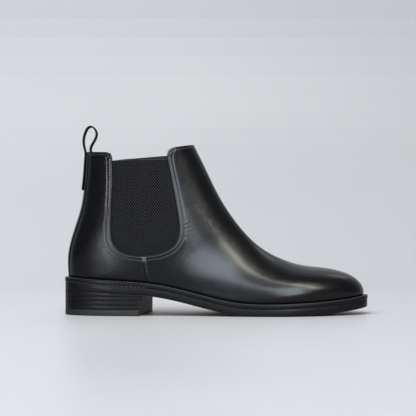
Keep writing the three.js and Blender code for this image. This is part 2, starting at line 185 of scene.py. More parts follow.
def last_normal(s, angle):
    step, turn = 0.05, 0.04
    ahead = np.minimum(s + step, TOE_END)
    down = last_point(ahead, angle) - last_point(ahead - 2 * step, angle)
    around = last_point(s, angle + turn) - last_point(s, angle - turn)
    normal = np.cross(down, around)
    return normal / np.maximum(np.linalg.norm(normal, axis=-1, keepdims=True), 1e-9)


def locate(x, z):
    """Section and angle of the last's point that the side view shows at x, z."""
    low, high = np.full(x.shape, -0.9), np.full(x.shape, TOE_END - 1e-4)
    for _ in range(44):
        middle = (low + high) / 2
        r = bspline(SECTIONS, middle)
        ahead = (r[..., 2] - r[..., 0]) * (z - r[..., 1]) - (r[..., 3] - r[..., 1]) * (x - r[..., 0]) > 0
        low, high = np.where(ahead, middle, low), np.where(ahead, high, middle)
    s = (low + high) / 2
    r = bspline(SECTIONS, s)
    across = np.stack([r[..., 2] - r[..., 0], r[..., 3] - r[..., 1]], -1)
    share = ((x - r[..., 0]) * across[..., 0] + (z - r[..., 1]) * across[..., 1]) / (across**2).sum(-1)
    angle = np.arccos(np.clip(1 - 2 * share, -1, 1))
    on_ridge = np.sin(angle) < 0.012
    return s, np.where(on_ridge, np.where(angle < 1, 0.0, math.pi), angle)


def on_last(flat, side, lift):
    """Points and normals over the side-view points, on the outer (-1) or inner (1) side."""
    x, z = flat[..., 0], flat[..., 1]
    if side > 0:
        corner = smoothstep(z, 136, 156) * smoothstep(x, 22, 40) * smoothstep(x, 75, 50)
        x = x - INNER_SETBACK * corner
    s, angle = locate(x, z)
    normal = last_normal(s, side * angle)
    lift = np.asarray(lift, float)
    return last_point(s, side * angle) + normal * lift[..., None], normal


# ---------------------------------------------------------------- lines in the side view


def smooth_line(points, samples=40):
    """A Catmull-Rom curve through the points, as many short steps."""
    p = np.array(points, float)
    if len(p) == 2:
        return p[0] + np.linspace(0, 1, samples)[:, None] * (p[1] - p[0])
    found = []
    for i in range(len(p) - 1):
        a, b, c, d = p[max(i - 1, 0)], p[i], p[i + 1], p[min(i + 2, len(p) - 1)]
        t = np.linspace(0, 1, samples, endpoint=i == len(p) - 2)[:, None]
        found.append(0.5 * (2 * b + (c - a) * t + (2 * a - 5 * b + 4 * c - d) * t**2
                            + (3 * b - a - 3 * c + d) * t**3))
    return np.vstack(found)


def lengths(line):
    return np.concatenate([[0], np.cumsum(np.linalg.norm(np.diff(line, axis=0), axis=1))])


def walk(line, share):
    """Points at shares of the line's length."""
    run = lengths(line)
    at = np.asarray(share, float) * run[-1]
    return np.stack([np.interp(at, run, line[:, k]) for k in range(line.shape[1])], -1)


def cut_line(line, point, keep_start=True):
    """The line up to, or from, the place nearest to a point."""
    i = int(np.argmin(np.linalg.norm(line - np.array(point, float), axis=1)))
    return line[: i + 1] if keep_start else line[i:]


def offset_line(line, distance):
    along = np.gradient(line, axis=0)
    along /= np.linalg.norm(along, axis=1, keepdims=True)
    return line + distance * np.stack([-along[:, 1], along[:, 0]], -1)


def distance_to(flat, line):
    found = np.full(flat.shape[:-1], 1e9)
    for start in range(0, len(line), 8):
        part = line[start : start + 9]
        for a, b in zip(part[:-1], part[1:]):
            along = b - a
            t = np.clip(((flat - a) @ along) / max(along @ along, 1e-12), 0, 1)
            found = np.minimum(found, np.linalg.norm(flat - a - t[..., None] * along, axis=-1))
    return found


def ridge(column, start, end, samples=260):
    """The front (0) or back (2) ridge of the last between two sections."""
    return bspline(SECTIONS, np.linspace(start, end, samples))[:, column : column + 2]


def crossing(column, start, end, height):
    """Section where a ridge crosses the height that a function gives for its x."""
    for _ in range(44):
        middle = (start + end) / 2
        x, z = bspline(SECTIONS, np.array(middle))[column : column + 2]
        start, end = (middle, end) if z < height(x) else (start, middle)
    return (start + end) / 2


def feather(x_start, x_end, samples=160):
    x = np.linspace(x_start, x_end, samples)
    return np.stack([x, seat(x) - LASTED_DEPTH], -1)


def lasted(x):
    return seat(x) - LASTED_DEPTH


STEPS_A_POINT = 40
FRONT_LINE, BACK_LINE = smooth_line(FRONT_EDGE, STEPS_A_POINT), smooth_line(BACK_EDGE, STEPS_A_POINT)
COLLAR_FRONT_LINE = FRONT_LINE[: CORNER * STEPS_A_POINT + 1]
COLLAR_BACK_LINE = BACK_LINE[: CORNER * STEPS_A_POINT + 1][::-1]
WINDOW_FRONT_LINE = FRONT_LINE[CORNER * STEPS_A_POINT :]
WINDOW_BACK_LINE = BACK_LINE[CORNER * STEPS_A_POINT :]
WINDOW_LINE = np.vstack([walk(WINDOW_BACK_LINE, np.linspace(0, 1, 70)),
                         walk(WINDOW_FRONT_LINE, np.linspace(1, 0, 80))])
SEAM_LINE = np.vstack([smooth_line(SIDE_SEAM), [[SEAM_FOOT, float(lasted(SEAM_FOOT))]]])


def fall(distance, centre, width):
    return np.exp(-(((distance - centre) / width) ** 2))


def smoothstep(value, low, high):
    t = np.clip((value - low) / (high - low), 0, 1)
    return t * t * (3 - 2 * t)


# ---------------------------------------------------------------- patches of the upper

EDGE_BAND = 6.6  # width of the finely divided leather along a sewn edge


def shares(width, coarse, fine, band=EDGE_BAND, bend=1.15):
    """Steps from a ridge (0) to a sewn edge (1): wide ones spaced as the ridge turns, then fine ones."""
    part = min(band, 0.45 * width) / width
    t = np.linspace(0, 1, coarse + 1)
    turned = (1 - np.cos(bend * t)) / (1 - math.cos(bend)) if bend else t
    return np.concatenate([(1 - part) * turned, 1 - part + part * np.linspace(0, 1, fine + 1)[1:]])


def coons(left, right, top, bottom, u, v):
    """Side-view points between four edges; u and v are the shares of each row and column."""
    u, v = u[..., None], v[..., None]
    corners = ((1 - u) * (1 - v) * top[0] + u * (1 - v) * top[-1]
               + (1 - u) * v * bottom[0] + u * v * bottom[-1])
    return ((1 - u) * left[:, None] + u * right[:, None]
            + (1 - v) * top[None] + v * bottom[None] - corners)


def span(a, b):
    return float(np.linalg.norm(np.array(a) - np.array(b)))


def height_of(line):
    """The height of a line that runs backwards along x, as a function of x."""
    return lambda x: np.interp(x, line[::-1, 0], line[::-1, 1])


def counter(density):
    """Scales a number of steps, and keeps at least four."""
    return lambda number: max(4, int(round(number * density)))


def vamp_tables(density):
    """Side-view tables of the shaft's front, the stub under the window and the foot."""
    count = counter(density)
    collar_end = crossing(0, *COLLAR_SECTIONS, height_of(COLLAR_FRONT_LINE))
    shaft_ridge = ridge(0, collar_end, INSTEP_SECTION)
    instep, corner = shaft_ridge[-1], np.array(FRONT_CORNER)
    window = cut_line(WINDOW_FRONT_LINE, corner)
    corner = window[-1]
    under = cut_line(WINDOW_FRONT_LINE, corner, keep_start=False)[::-1]
    collar = cut_line(COLLAR_FRONT_LINE, shaft_ridge[0], keep_start=False)
    collar[0] = shaft_ridge[0]
    rows = 1 - shares(105, count(62), count(13), bend=0)[::-1]
    columns = count(26), count(15)
    left, right = walk(shaft_ridge, rows), walk(window, rows)
    u = np.array([shares(span(a, b), *columns) for a, b in zip(left, right)])
    v = np.repeat(rows[:, None], u.shape[1], 1)
    seam_top = instep + u[-1][:, None] * (corner - instep)
    shaft = coons(left, right, walk(collar, u[0]), seam_top, u, v)

    foot_point = np.array([FRONT_FOOT, lasted(FRONT_FOOT)])
    drop = 1 - shares(span(corner, foot_point), count(26), count(15), bend=0)[::-1]
    seam = SEAM_LINE + (SEAM_GAP, 0)
    left, right = walk(seam, drop), corner + drop[:, None] * (foot_point - corner)
    across = 1 - shares(38, count(20), count(11), band=5.5, bend=0)[::-1]
    u = np.repeat(across[None], len(drop), 0)
    v = np.repeat(drop[:, None], len(across), 1)
    under = under + np.linspace(SEAM_GAP, 0, len(under))[:, None] * (1, 0)
    stub = coons(left, right, walk(under, across), walk(feather(seam[-1][0], FRONT_FOOT), across), u, v)
    stub[0, 0] = left[0]

    toe_section = crossing(2, *TOE_FEATHER, lasted)
    toe_point = bspline(SECTIONS, np.array(toe_section))[2:4]
    above, below = span(instep, corner), span(corner, foot_point)
    turn = above / (above + below)
    rows = np.concatenate([turn * shares(above, *columns), turn + (1 - turn) * drop[1:]])
    left = np.vstack([seam_top, right[1:]])
    toe = np.vstack([ridge(0, TOE_TOP, TOE_END), ridge(2, TOE_END, toe_section)[1:]])
    part = EDGE_BAND / 190
    t = np.linspace(0, 1, count(84) + 1)
    along = np.concatenate([part * np.linspace(0, 1, count(12) + 1)[:-1],
                            part + (1 - part) * np.sin(t * math.pi / 2)])
    u = np.repeat(along[None], len(rows), 0)
    v = np.repeat(rows[:, None], len(along), 1)
    top = walk(ridge(0, INSTEP_SECTION, TOE_TOP), along)
    bottom = walk(feather(FRONT_FOOT, toe_point[0]), along)
    foot = coons(left, walk(toe, rows), top, bottom, u, v)
    return [shaft, stub, foot]


def quarter_tables(density):
    """Side-view tables of the shaft's back, the stub under the window and the heel."""
    count = counter(density)
    collar_end = crossing(2, *COLLAR_SECTIONS, height_of(COLLAR_BACK_LINE))
    shaft_ridge = ridge(2, collar_end, HEEL_SECTION)
    ankle, corner = shaft_ridge[-1], np.array(BACK_CORNER)
    window = cut_line(WINDOW_BACK_LINE, corner)
    corner = window[-1]
    under = cut_line(WINDOW_BACK_LINE, corner, keep_start=False)
    collar = cut_line(COLLAR_BACK_LINE, shaft_ridge[0])[::-1]
    collar[0] = shaft_ridge[0]
    rows = 1 - shares(95, count(58), count(13), bend=0)[::-1]
    columns = count(24), count(15)
    left, right = walk(shaft_ridge, rows), walk(window, rows)
    u = np.array([shares(span(a, b), *columns) for a, b in zip(left, right)])
    v = np.repeat(rows[:, None], u.shape[1], 1)
    ankle_line = ankle + u[-1][:, None] * (corner - ankle)
    shaft = coons(left, right, walk(collar, u[0]), ankle_line, u, v)

    foot_point = np.array([BACK_FOOT, lasted(BACK_FOOT)])
    drop = 1 - shares(span(corner, foot_point), count(24), count(15), bend=0)[::-1]
    seam = SEAM_LINE - (SEAM_GAP, 0)
    left, right = corner + drop[:, None] * (foot_point - corner), walk(seam, drop)
    across = shares(36, count(20), count(11), band=5.5, bend=0)
    u = np.repeat(across[None], len(drop), 0)
    v = np.repeat(drop[:, None], len(across), 1)
    under = under - np.linspace(0, SEAM_GAP, len(under))[:, None] * (1, 0)
    stub = coons(left, right, walk(under, across), walk(feather(BACK_FOOT, seam[-1][0]), across), u, v)

    heel_section = crossing(2, *HEEL_FEATHER, lasted)
    heel_point = bspline(SECTIONS, np.array(heel_section))[2:4]
    ridge_side = walk(ridge(2, HEEL_SECTION, heel_section), drop)
    u = np.array([shares(span(a, b), *columns) for a, b in zip(ridge_side, left)])
    u[0] = shares(span(ankle, corner), *columns)
    v = np.repeat(drop[:, None], u.shape[1], 1)
    heel = coons(ridge_side, left, ankle_line, walk(feather(heel_point[0], BACK_FOOT), u[-1]), u, v)
    return [shaft, stub, heel]


def distance_to_collar(flat, every):
    """Distance to the nearer collar edge, measured to every n-th step of its line."""
    front, back = COLLAR_FRONT_LINE[::every], COLLAR_BACK_LINE[::every]
    return np.minimum(distance_to(flat, front), distance_to(flat, back))


def leather_relief(flat):
    """How far the leather's face stands out or in: sewn rows, folded collar, creases."""
    boot = settings()
    to_window = distance_to(flat, WINDOW_LINE)
    first, second = boot.stitch_inset / MM, (boot.stitch_inset + boot.stitch_rows_apart) / MM
    relief = -0.14 * (fall(to_window, first, 0.5) + fall(to_window, second, 0.5))
    relief -= 0.2 * fall(to_window, 0, 0.7)
    relief += 0.1 * fall(to_window, second + 1.9, 1.1)
    to_collar = distance_to_collar(flat, 4)
    front = flat[..., 0] > 75
    fold = np.where(front, 5.6, 3.6)
    relief += 0.14 * smoothstep(fold - to_collar, -1.2, 1.2) - 0.1 * fall(to_collar, fold + 0.9, 0.9)
    relief -= 0.16 * fall(to_collar, np.where(front, 2.6, 2.2), 0.45) + 0.3 * fall(to_collar, 0, 0.6)
    to_seam = distance_to(flat, SEAM_LINE)
    toe_side = flat[..., 0] > SEAM_LINE[:, 0].mean()
    relief -= np.where(toe_side, 0.26 * fall(to_seam, SEAM_ROW, 0.5), 0) * (to_window > 1)
    relief += 0.15 * fall(to_seam, 1.1, 0.8)
    # The upper tucks in over the welt, and the front collar ripples under its fold.
    relief -= 1.1 * smoothstep(seat(flat[..., 0]) + TUCK - flat[..., 1], 0, TUCK)
    relief += np.where(front, 0.2 * fall(to_collar, 6.6, 0.7) * (to_window > 4), 0)
    # Small creases fan out from the window's lower front corner.
    from_corner = flat - np.array([104.0, 80.0])
    around = np.arctan2(from_corner[..., 1], from_corner[..., 0])
    reach = np.linalg.norm(from_corner, axis=-1)
    fan = fall(reach, 18.5, 4.6) * fall(around, 0.42, 0.42)
    relief += 0.24 * fan * np.sin(around * 34)
    return relief


# ---------------------------------------------------------------- making pieces


def fine_steps(made, columns, rows):
    """Column and row number of each vertex of a fresh grid."""
    flat = np.array([v.co[:2] for v in made])
    return (np.rint((flat[:, 0] + 1) / 2 * (columns - 1)).astype(int),
            np.rint((flat[:, 1] + 1) / 2 * (rows - 1)).astype(int))


def add_grid(bm, points, outward=None, uv=None):
    """A grid of the points (rows, columns, 3) in millimetres, turned so that its faces look outward."""
    rows, columns = points.shape[:2]
    made = bmesh.ops.create_grid(bm, x_segments=columns - 1, y_segments=rows - 1, size=1.0)["verts"]
    column, row = fine_steps(made, columns, rows)
    placed = (points[row, column] - SHIFT) * MM
    for vert, place in zip(made, placed):
        vert.co = place
    faces = list({face for vert in made for face in vert.link_faces})
    if uv is not None:
        layer = bm.loops.layers.uv.verify()
        where = dict(zip(made, zip(column, row)))
        for face in faces:
            for loop in face.loops:
                i, j = where[loop.vert]
                loop[layer].uv = uv[j, i] * MM
    for face in faces:
        face.normal_update()
    if outward is not None:
        normals = dict(zip(made, outward[row, column]))
        facing = sum(face.normal.dot(Vector(normals[face.verts[0]])) for face in faces)
        if facing < 0:
            bmesh.ops.reverse_faces(bm, faces=faces)
    return faces


def merge(bm, distance=0.03):
    bmesh.ops.remove_doubles(bm, verts=bm.verts, dist=distance * MM)


def piece(name, bm, materials, body="boot", nodes=(), smooth=True):
    """Turns a bmesh into a piece of the boot."""
    mesh = bpy.data.meshes.new(name)
    for face in bm.faces:
        face.smooth = smooth if not face.tag else False
    bm.to_mesh(mesh)
    bm.free()
    made = bpy.data.objects.new(name, mesh)
    bpy.context.scene.collection.objects.link(made)
    for material in materials:
        mesh.materials.append(material)
    if body:
        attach(made, body)
    if nodes:
        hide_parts(*nodes)
    return made


def thicken(made, thickness, rounding, offset=-1.0, segments=2):
    wall = made.modifiers.new("Thickness", "SOLIDIFY")
    wall.thickness = thickness
    wall.offset = offset
    wall.use_even_offset = False
    edge = made.modifiers.new("Rounded edge", "BEVEL")
    edge.width = rounding
    edge.segments = segments
    edge.limit_method = "ANGLE"
    edge.angle_limit = math.radians(50)
    return made


def sharp_edges(bm, angle=40):
    return [e for e in bm.edges if len(e.link_faces) == 2 and e.calc_face_angle() > math.radians(angle)]


def bevel(bm, edges, width, segments=3):
    bmesh.ops.bevel(bm, geom=edges, offset=width, offset_type="OFFSET", segments=segments, profile=0.5,
                    affect="EDGES", clamp_overlap=True, material=-1)


# ---------------------------------------------------------------- thread


def add_thread(bm, places, along, normals, length, width, tilt=0.0):
    """One small rounded stitch at each place, in millimetres."""
    for place, run, up in zip(places, along, normals):
        run, up = Vector(run).normalized(), Vector(up).normalized()
        side = up.cross(run).normalized()
        if tilt:
            run = (run * math.cos(tilt) + side * math.sin(tilt)).normalized()
            side = up.cross(run).normalized()
        turn = Matrix((side, up, run)).transposed().to_4x4()
        size = Matrix.Diagonal((width * MM, width * 0.8 * MM, length * MM, 1))
        spot = Matrix.Translation(Vector((np.array(place) - SHIFT) * MM))
        bmesh.ops.create_uvsphere(bm, u_segments=6, v_segments=5, radius=0.5, matrix=spot @ turn @ size)


def sew(bm, line, side, lift=0.0, tilt=0.0, pitch=None, length=None, width=None):
    """A row of stitches along a side-view line, sunk into the leather's sewn groove."""
    boot = settings()
    pitch = pitch or boot.stitch_pitch / MM
    length = length or boot.stitch_length / MM
    width = width or boot.thread_width / MM
    dense = walk(line, np.linspace(0, 1, max(60, len(line))))
    relief = leather_relief(dense) + lift
    points, normals = on_last(dense, side, relief)
    run_stitches(bm, points, normals, pitch, length, width, tilt)


def run_stitches(bm, points, normals, pitch, length, width, tilt=0.0):
    run = lengths(points)
    number = max(2, int(run[-1] / pitch))
    at = (np.arange(number) + 0.5) * run[-1] / number
    places = np.stack([np.interp(at, run, points[:, k]) for k in range(3)], -1)
    ups = np.stack([np.interp(at, run, normals[:, k]) for k in range(3)], -1)
    ahead = np.stack([np.interp(at + 0.4, run, points[:, k]) for k in range(3)], -1)
    behind = np.stack([np.interp(at - 0.4, run, points[:, k]) for k in range(3)], -1)
    add_thread(bm, places, ahead - behind, ups, length, width, tilt)


# ---------------------------------------------------------------- finishes


class Finish:
    """A material under construction: a Principled shader and the nodes that feed it."""

    def __init__(self, name, colour, roughness, **sockets):
        self.material = bpy.data.materials.new(name)
        self.material.use_nodes = True
        self.tree = self.material.node_tree
        self.shader = self.tree.nodes["Principled BSDF"]
        self.shader.inputs["Base Color"].default_value = (*colour[:3], 1)
        self.shader.inputs["Roughness"].default_value = roughness
        for socket, value in sockets.items():
            self.shader.inputs[socket.replace("_", " ")].default_value = value
        self.material.diffuse_color = (*colour[:3], 1)
        self.places = self.tree.nodes.new("ShaderNodeTexCoord")

    def link(self, output, target):
        if hasattr(output, "is_output"):
            self.tree.links.new(output, target)
        else:
            target.default_value = output

    def where(self, source="Object", turn=(0, 0, 0), stretch=(1, 1, 1)):
        mapping = self.tree.nodes.new("ShaderNodeMapping")
        self.tree.links.new(self.places.outputs[source], mapping.inputs["Vector"])
        mapping.inputs["Rotation"].default_value = turn
        mapping.inputs["Scale"].default_value = stretch
        return mapping.outputs["Vector"]

    def noise(self, size, detail=2.0, roughness=0.5, source="Object", stretch=(1, 1, 1), turn=(0, 0, 0)):
        node = self.tree.nodes.new("ShaderNodeTexNoise")
        self.tree.links.new(self.where(source, turn, stretch), node.inputs["Vector"])
        node.inputs["Scale"].default_value = 1 / size
        node.inputs["Detail"].default_value = detail
        node.inputs["Roughness"].default_value = roughness
        return node.outputs["Fac"]

    def cells(self, size, source="Object", feature="F1", stretch=(1, 1, 1), smooth=0.0):
        node = self.tree.nodes.new("ShaderNodeTexVoronoi")
        node.feature = feature
        self.tree.links.new(self.where(source, (0, 0, 0), stretch), node.inputs["Vector"])
        node.inputs["Scale"].default_value = 1 / size
        if feature == "SMOOTH_F1":
            node.inputs["Smoothness"].default_value = smooth
        return node.outputs["Distance"]

    def sums(self, operation, a, b=0.0, clamp=False):
        node = self.tree.nodes.new("ShaderNodeMath")
        node.operation = operation
        node.use_clamp = clamp
        self.link(a, node.inputs[0])
        self.link(b, node.inputs[1])
        return node.outputs["Value"]

    def axis(self, vector, name):
        node = self.tree.nodes.new("ShaderNodeSeparateXYZ")
        self.tree.links.new(vector, node.inputs["Vector"])
        return node.outputs[name]

    def ramp(self, value, low, high, to_low=0.0, to_high=1.0):
        node = self.tree.nodes.new("ShaderNodeMapRange")
        node.interpolation_type = "SMOOTHSTEP"
        self.link(value, node.inputs["Value"])
        for socket, number in zip(("From Min", "From Max", "To Min", "To Max"), (low, high, to_low, to_high)):
            node.inputs[socket].default_value = number
        return node.outputs["Result"]

    def mix(self, factor, first, second):
        node = self.tree.nodes.new("ShaderNodeMix")
        node.data_type = "RGBA"
        self.link(factor, node.inputs["Factor"])
        for socket, colour in ((node.inputs[6], first), (node.inputs[7], second)):
            self.link(colour if hasattr(colour, "is_output") else (*colour[:3], 1), socket)
        return node.outputs[2]

    def bump(self, height, depth, strength=1.0, normal=None):
        node = self.tree.nodes.new("ShaderNodeBump")
        node.inputs["Distance"].default_value = depth
        node.inputs["Strength"].default_value = strength
        self.link(height, node.inputs["Height"])
        if normal is not None:
            self.tree.links.new(normal, node.inputs["Normal"])
        return node.outputs["Normal"]

    def finish(self, colour=None, roughness=None, normal=None, coat_normal=None):
        for socket, value in (("Base Color", colour), ("Roughness", roughness), ("Normal", normal),
                              ("Coat Normal", coat_normal)):
            if value is not None:
                self.link(value, self.shader.inputs[socket])
        return self.material


def shade(colour, factor):
    return tuple(min(1.0, c * factor) for c in colour[:3])


def calf_finish():
    """Box calf: black, glazed, with a fine grain of pores and a waxed shine."""
    boot = settings()
    f = Finish("black calf", boot.calf_colour, 0.3, Specular_IOR_Level=0.12, Coat_Weight=0.3,
               Coat_Roughness=0.1, Coat_IOR=1.25)
    clouds = f.noise(0.03, 3)
    fine = f.noise(boot.grain_size * 0.8, 3, 0.6)
    grain = f.cells(boot.grain_size, feature="SMOOTH_F1", smooth=0.6)
    pores = f.ramp(f.cells(boot.grain_size * 2.1), 0.05, 0.22)
    colour = f.mix(clouds, shade(boot.calf_colour, 0.75), shade(boot.calf_colour, 1.5))
    rough = f.sums("ADD", f.ramp(clouds, 0.3, 0.7, 0.17, 0.22), f.ramp(fine, 0.3, 0.75, 0.0, 0.1))
    pitted = f.sums("ADD", f.sums("MULTIPLY", pores, 0.35), fine)
    height = f.sums("ADD", f.sums("MULTIPLY", grain, 0.7), pitted)
    soft = f.bump(f.noise(0.012, 2), 0.0006, 0.25)
    coat = f.bump(height, 0.00007, 0.5, soft)
    return f.finish(colour, rough, f.bump(height, 0.00012, 0.7, soft), coat)


def thread_finish(name, colour):
    f = Finish(name, colour, 0.55, Sheen_Weight=0.2, Sheen_Roughness=0.4)
    twist = f.noise(0.00035, 2, stretch=(1, 1, 2.2))
    return f.finish(f.mix(twist, shade(colour, 0.6), shade(colour, 1.3)), None, f.bump(twist, 0.0001, 0.6))


def elastic_finish():
    """Woven elastic: fine upright ribs crossed by small slanted floats of paler thread."""
    boot = settings()
    f = Finish("gore elastic", boot.elastic_colour, 0.8, Specular_IOR_Level=0.05)
    pitch = boot.elastic_pitch
    place = f.where("UV", stretch=(1 / pitch, 1 / (2.6 * pitch), 1))
    across, up = f.axis(place, "X"), f.axis(place, "Y")
    within = f.sums("SUBTRACT", f.sums("FRACT", across), 0.5)
    odd = f.sums("MULTIPLY", f.sums("FRACT", f.sums("MULTIPLY", f.sums("FLOOR", across), 0.5)), 2.0)
    run = f.sums("ADD", f.sums("SUBTRACT", up, f.sums("MULTIPLY", within, 0.3)), f.sums("MULTIPLY", odd, 0.5))
    height = f.sums("ABSOLUTE", f.sums("SUBTRACT", f.sums("FRACT", run), 0.5))
    dash = f.ramp(height, 0.12, 0.2, 1.0, 0.0)
    dash = f.sums("MULTIPLY", dash, f.ramp(f.sums("ABSOLUTE", within), 0.2, 0.34, 1.0, 0.0))
    ribs = f.sums("ABSOLUTE", f.sums("SUBTRACT", f.sums("FRACT", f.sums("MULTIPLY", across, 2.0)), 0.5))
    uneven = f.noise(pitch * 1.4, 3, source="UV")
    lit = f.sums("MULTIPLY", dash, f.ramp(uneven, 0.3, 0.6, 0.25, 1.0))
    ground = f.mix(f.ramp(ribs, 0.1, 0.45), shade(boot.elastic_colour, 0.4), shade(boot.elastic_colour, 1.2))
    colour = f.mix(lit, ground, boot.float_colour)
    relief = f.sums("ADD", f.sums("MULTIPLY", ribs, 0.5), f.sums("MULTIPLY", dash, 0.9))
    return f.finish(colour, None, f.bump(relief, 0.0003, 0.8))


def hem_finish():
    boot = settings()
    f = Finish("gore hem", shade(boot.elastic_colour, 0.7), 0.7, Specular_IOR_Level=0.2)
    ribs = f.noise(0.0006, 2, source="UV", stretch=(1.0, 0.25, 1))
    colour = f.mix(ribs, shade(boot.elastic_colour, 0.35), shade(boot.elastic_colour, 1.1))
    return f.finish(colour, None, f.bump(ribs, 0.0002, 0.6))


def tape_finish():
    """Herringbone webbing."""
    boot = settings()
    f = Finish("pull tab webbing", boot.tape_colour, 0.75, Specular_IOR_Level=0.08)
    pitch = 0.004
    place = f.where("UV", stretch=(1 / pitch, 1 / pitch, 1))
    across, along = f.axis(place, "X"), f.axis(place, "Y")
    fold = f.sums("ABSOLUTE", f.sums("SUBTRACT", f.sums("FRACT", across), 0.5))
    twill = f.sums("FRACT", f.sums("MULTIPLY", f.sums("ADD", along, f.sums("MULTIPLY", fold, 1.4)), 4.5))
    strand = f.ramp(f.sums("ABSOLUTE", f.sums("SUBTRACT", twill, 0.5)), 0.1, 0.42)
    colour = f.mix(strand, shade(boot.tape_colour, 0.45), shade(boot.tape_colour, 1.7))
    fuzz = f.noise(0.0005, 2, source="UV")
    return f.finish(colour, None, f.bump(f.sums("ADD", strand, f.sums("MULTIPLY", fuzz, 0.4)), 0.0003, 0.8))


def lining_finish():
    boot = settings()
    f = Finish("lining leather", boot.lining_colour, 0.6)
    grain = f.cells(0.0009, feature="SMOOTH_F1", smooth=0.5)
    clouds = f.noise(0.02, 3)
    colour = f.mix(clouds, shade(boot.lining_colour, 0.75), shade(boot.lining_colour, 1.25))
    return f.finish(colour, f.ramp(clouds, 0.3, 0.7, 0.5, 0.68), f.bump(grain, 0.00015, 0.6))


def edge_finish(name, colour, roughness=0.3):
    """Waxed and burnished leather edge: fine long fibres under the wax."""
    f = Finish(name, colour, roughness, Specular_IOR_Level=0.08, Coat_Weight=0.03,
               Coat_Roughness=0.2, Coat_IOR=1.3)
    fibre = f.noise(0.0016, 4, 0.6, stretch=(0.3, 0.3, 1.8))
    clouds = f.noise(0.02, 3)
    tone = f.mix(fibre, shade(colour, 0.6), shade(colour, 1.5))
    rough = f.sums("ADD", f.ramp(clouds, 0.3, 0.7, roughness - 0.05, roughness + 0.12),
                   f.sums("MULTIPLY", fibre, 0.12))
    return f.finish(tone, rough, f.bump(f.sums("ADD", fibre, f.sums("MULTIPLY", clouds, 0.6)), 0.00022, 0.5))


def sole_finish():
    """The tread side of the outsole: tan leather, brushed, with darker streaks."""
    boot = settings()
    f = Finish("sole leather", boot.sole_colour, 0.5, Coat_Weight=0.1, Coat_Roughness=0.3)
    fibre = f.noise(0.0012, 4, 0.65)
    clouds = f.noise(0.03, 4, 0.6)
    streak = f.noise(0.004, 3, 0.6, stretch=(0.15, 1, 1))
    tone = f.mix(f.ramp(clouds, 0.3, 0.7), shade(boot.sole_colour, 0.72), shade(boot.sole_colour, 1.15))
    tone = f.mix(f.ramp(streak, 0.45, 0.8, 0.0, 0.35), tone, shade(boot.sole_colour, 0.55))
    return f.finish(tone, f.ramp(clouds, 0.3, 0.7, 0.38, 0.6), f.bump(fibre, 0.0002, 0.6))


def rubber_finish():
    boot = settings()
    f = Finish("heel rubber", boot.rubber_colour, 0.6, Specular_IOR_Level=0.25)
    grit = f.noise(0.0007, 3, 0.6)
    dust = f.noise(0.015, 3)
    tone = f.mix(dust, shade(boot.rubber_colour, 0.7), shade(boot.rubber_colour, 1.6))
    return f.finish(tone, f.ramp(dust, 0.3, 0.7, 0.5, 0.72), f.bump(grit, 0.0002, 0.5))


def metal_finish(name, colour, roughness):
    f = Finish(name, colour, roughness, Metallic=1.0)
    scratch = f.noise(0.0012, 4, 0.6, stretch=(0.2, 1, 1))
    tone = f.mix(scratch, shade(colour, 0.7), shade(colour, 1.1))
    return f.finish(tone, f.ramp(scratch, 0.3, 0.7, roughness, roughness + 0.2), f.bump(scratch, 0.0001, 0.3))


def board_finish():
    f = Finish("fibre board", (0.33, 0.24, 0.15), 0.8)
    fibre = f.noise(0.0012, 4, 0.7, stretch=(0.5, 1, 1))
    tone = f.mix(fibre, (0.2, 0.13, 0.075), (0.45, 0.34, 0.22))
    return f.finish(tone, None, f.bump(fibre, 0.0003, 0.6))


def cork_finish():
    f = Finish("cork", (0.36, 0.2, 0.1), 0.85)
    crumbs = f.cells(0.002)
    specks = f.ramp(f.noise(0.0011, 2), 0.6, 0.7)
    tone = f.mix(f.ramp(crumbs, 0.1, 0.9), (0.22, 0.11, 0.05), (0.48, 0.29, 0.15))
    tone = f.mix(specks, tone, (0.07, 0.035, 0.02))
    return f.finish(tone, None, f.bump(crumbs, 0.0006, 0.7))


def floor_finish():
    look = settings()
    f = Finish("studio floor", look.floor_colour, 0.42, Specular_IOR_Level=0.35)
    wear = f.noise(0.4, 3)
    return f.finish(f.mix(wear, shade(look.floor_colour, 0.985), shade(look.floor_colour, 1.015)),
                    f.ramp(wear, 0.3, 0.7, 0.36, 0.46))


FINISHES = {}


def finish(kind):
    """Each finish is made once and shared."""
    makers = {
        "calf": calf_finish,
        "thread": lambda: thread_finish("black thread", settings().thread_colour),
        "pale thread": lambda: thread_finish("welt thread", settings().welt_thread_colour),
        "elastic": elastic_finish,
        "hem": hem_finish,
        "tape": tape_finish,
        "lining": lining_finish,
        "edge": lambda: edge_finish("waxed edge", settings().edge_colour),
        "breast": lambda: edge_finish("heel breast", settings().breast_colour, 0.42),
        "sole": sole_finish,
        "rubber": rubber_finish,
        "brass": lambda: metal_finish("brass", (0.62, 0.42, 0.16), 0.28),
        "steel": lambda: metal_finish("shank steel", (0.55, 0.56, 0.58), 0.3),
        "board": board_finish,
        "cork": cork_finish,
        "floor": floor_finish,
    }
    if kind not in FINISHES:
        FINISHES[kind] = makers[kind]()
    return FINISHES[kind]


# ---------------------------------------------------------------- the upper


def make_leather(name, tables, sides, nodes):
    boot = settings()
    bm = bmesh.new()
    for table in tables:
        relief = leather_relief(table)
        for side in sides:
            add_grid(bm, *on_last(table, side, relief))
    merge(bm)
    made = piece(name, bm, [finish("calf")], nodes=nodes)
    return thicken(made, boot.leather_thickness, boot.leather_edge)


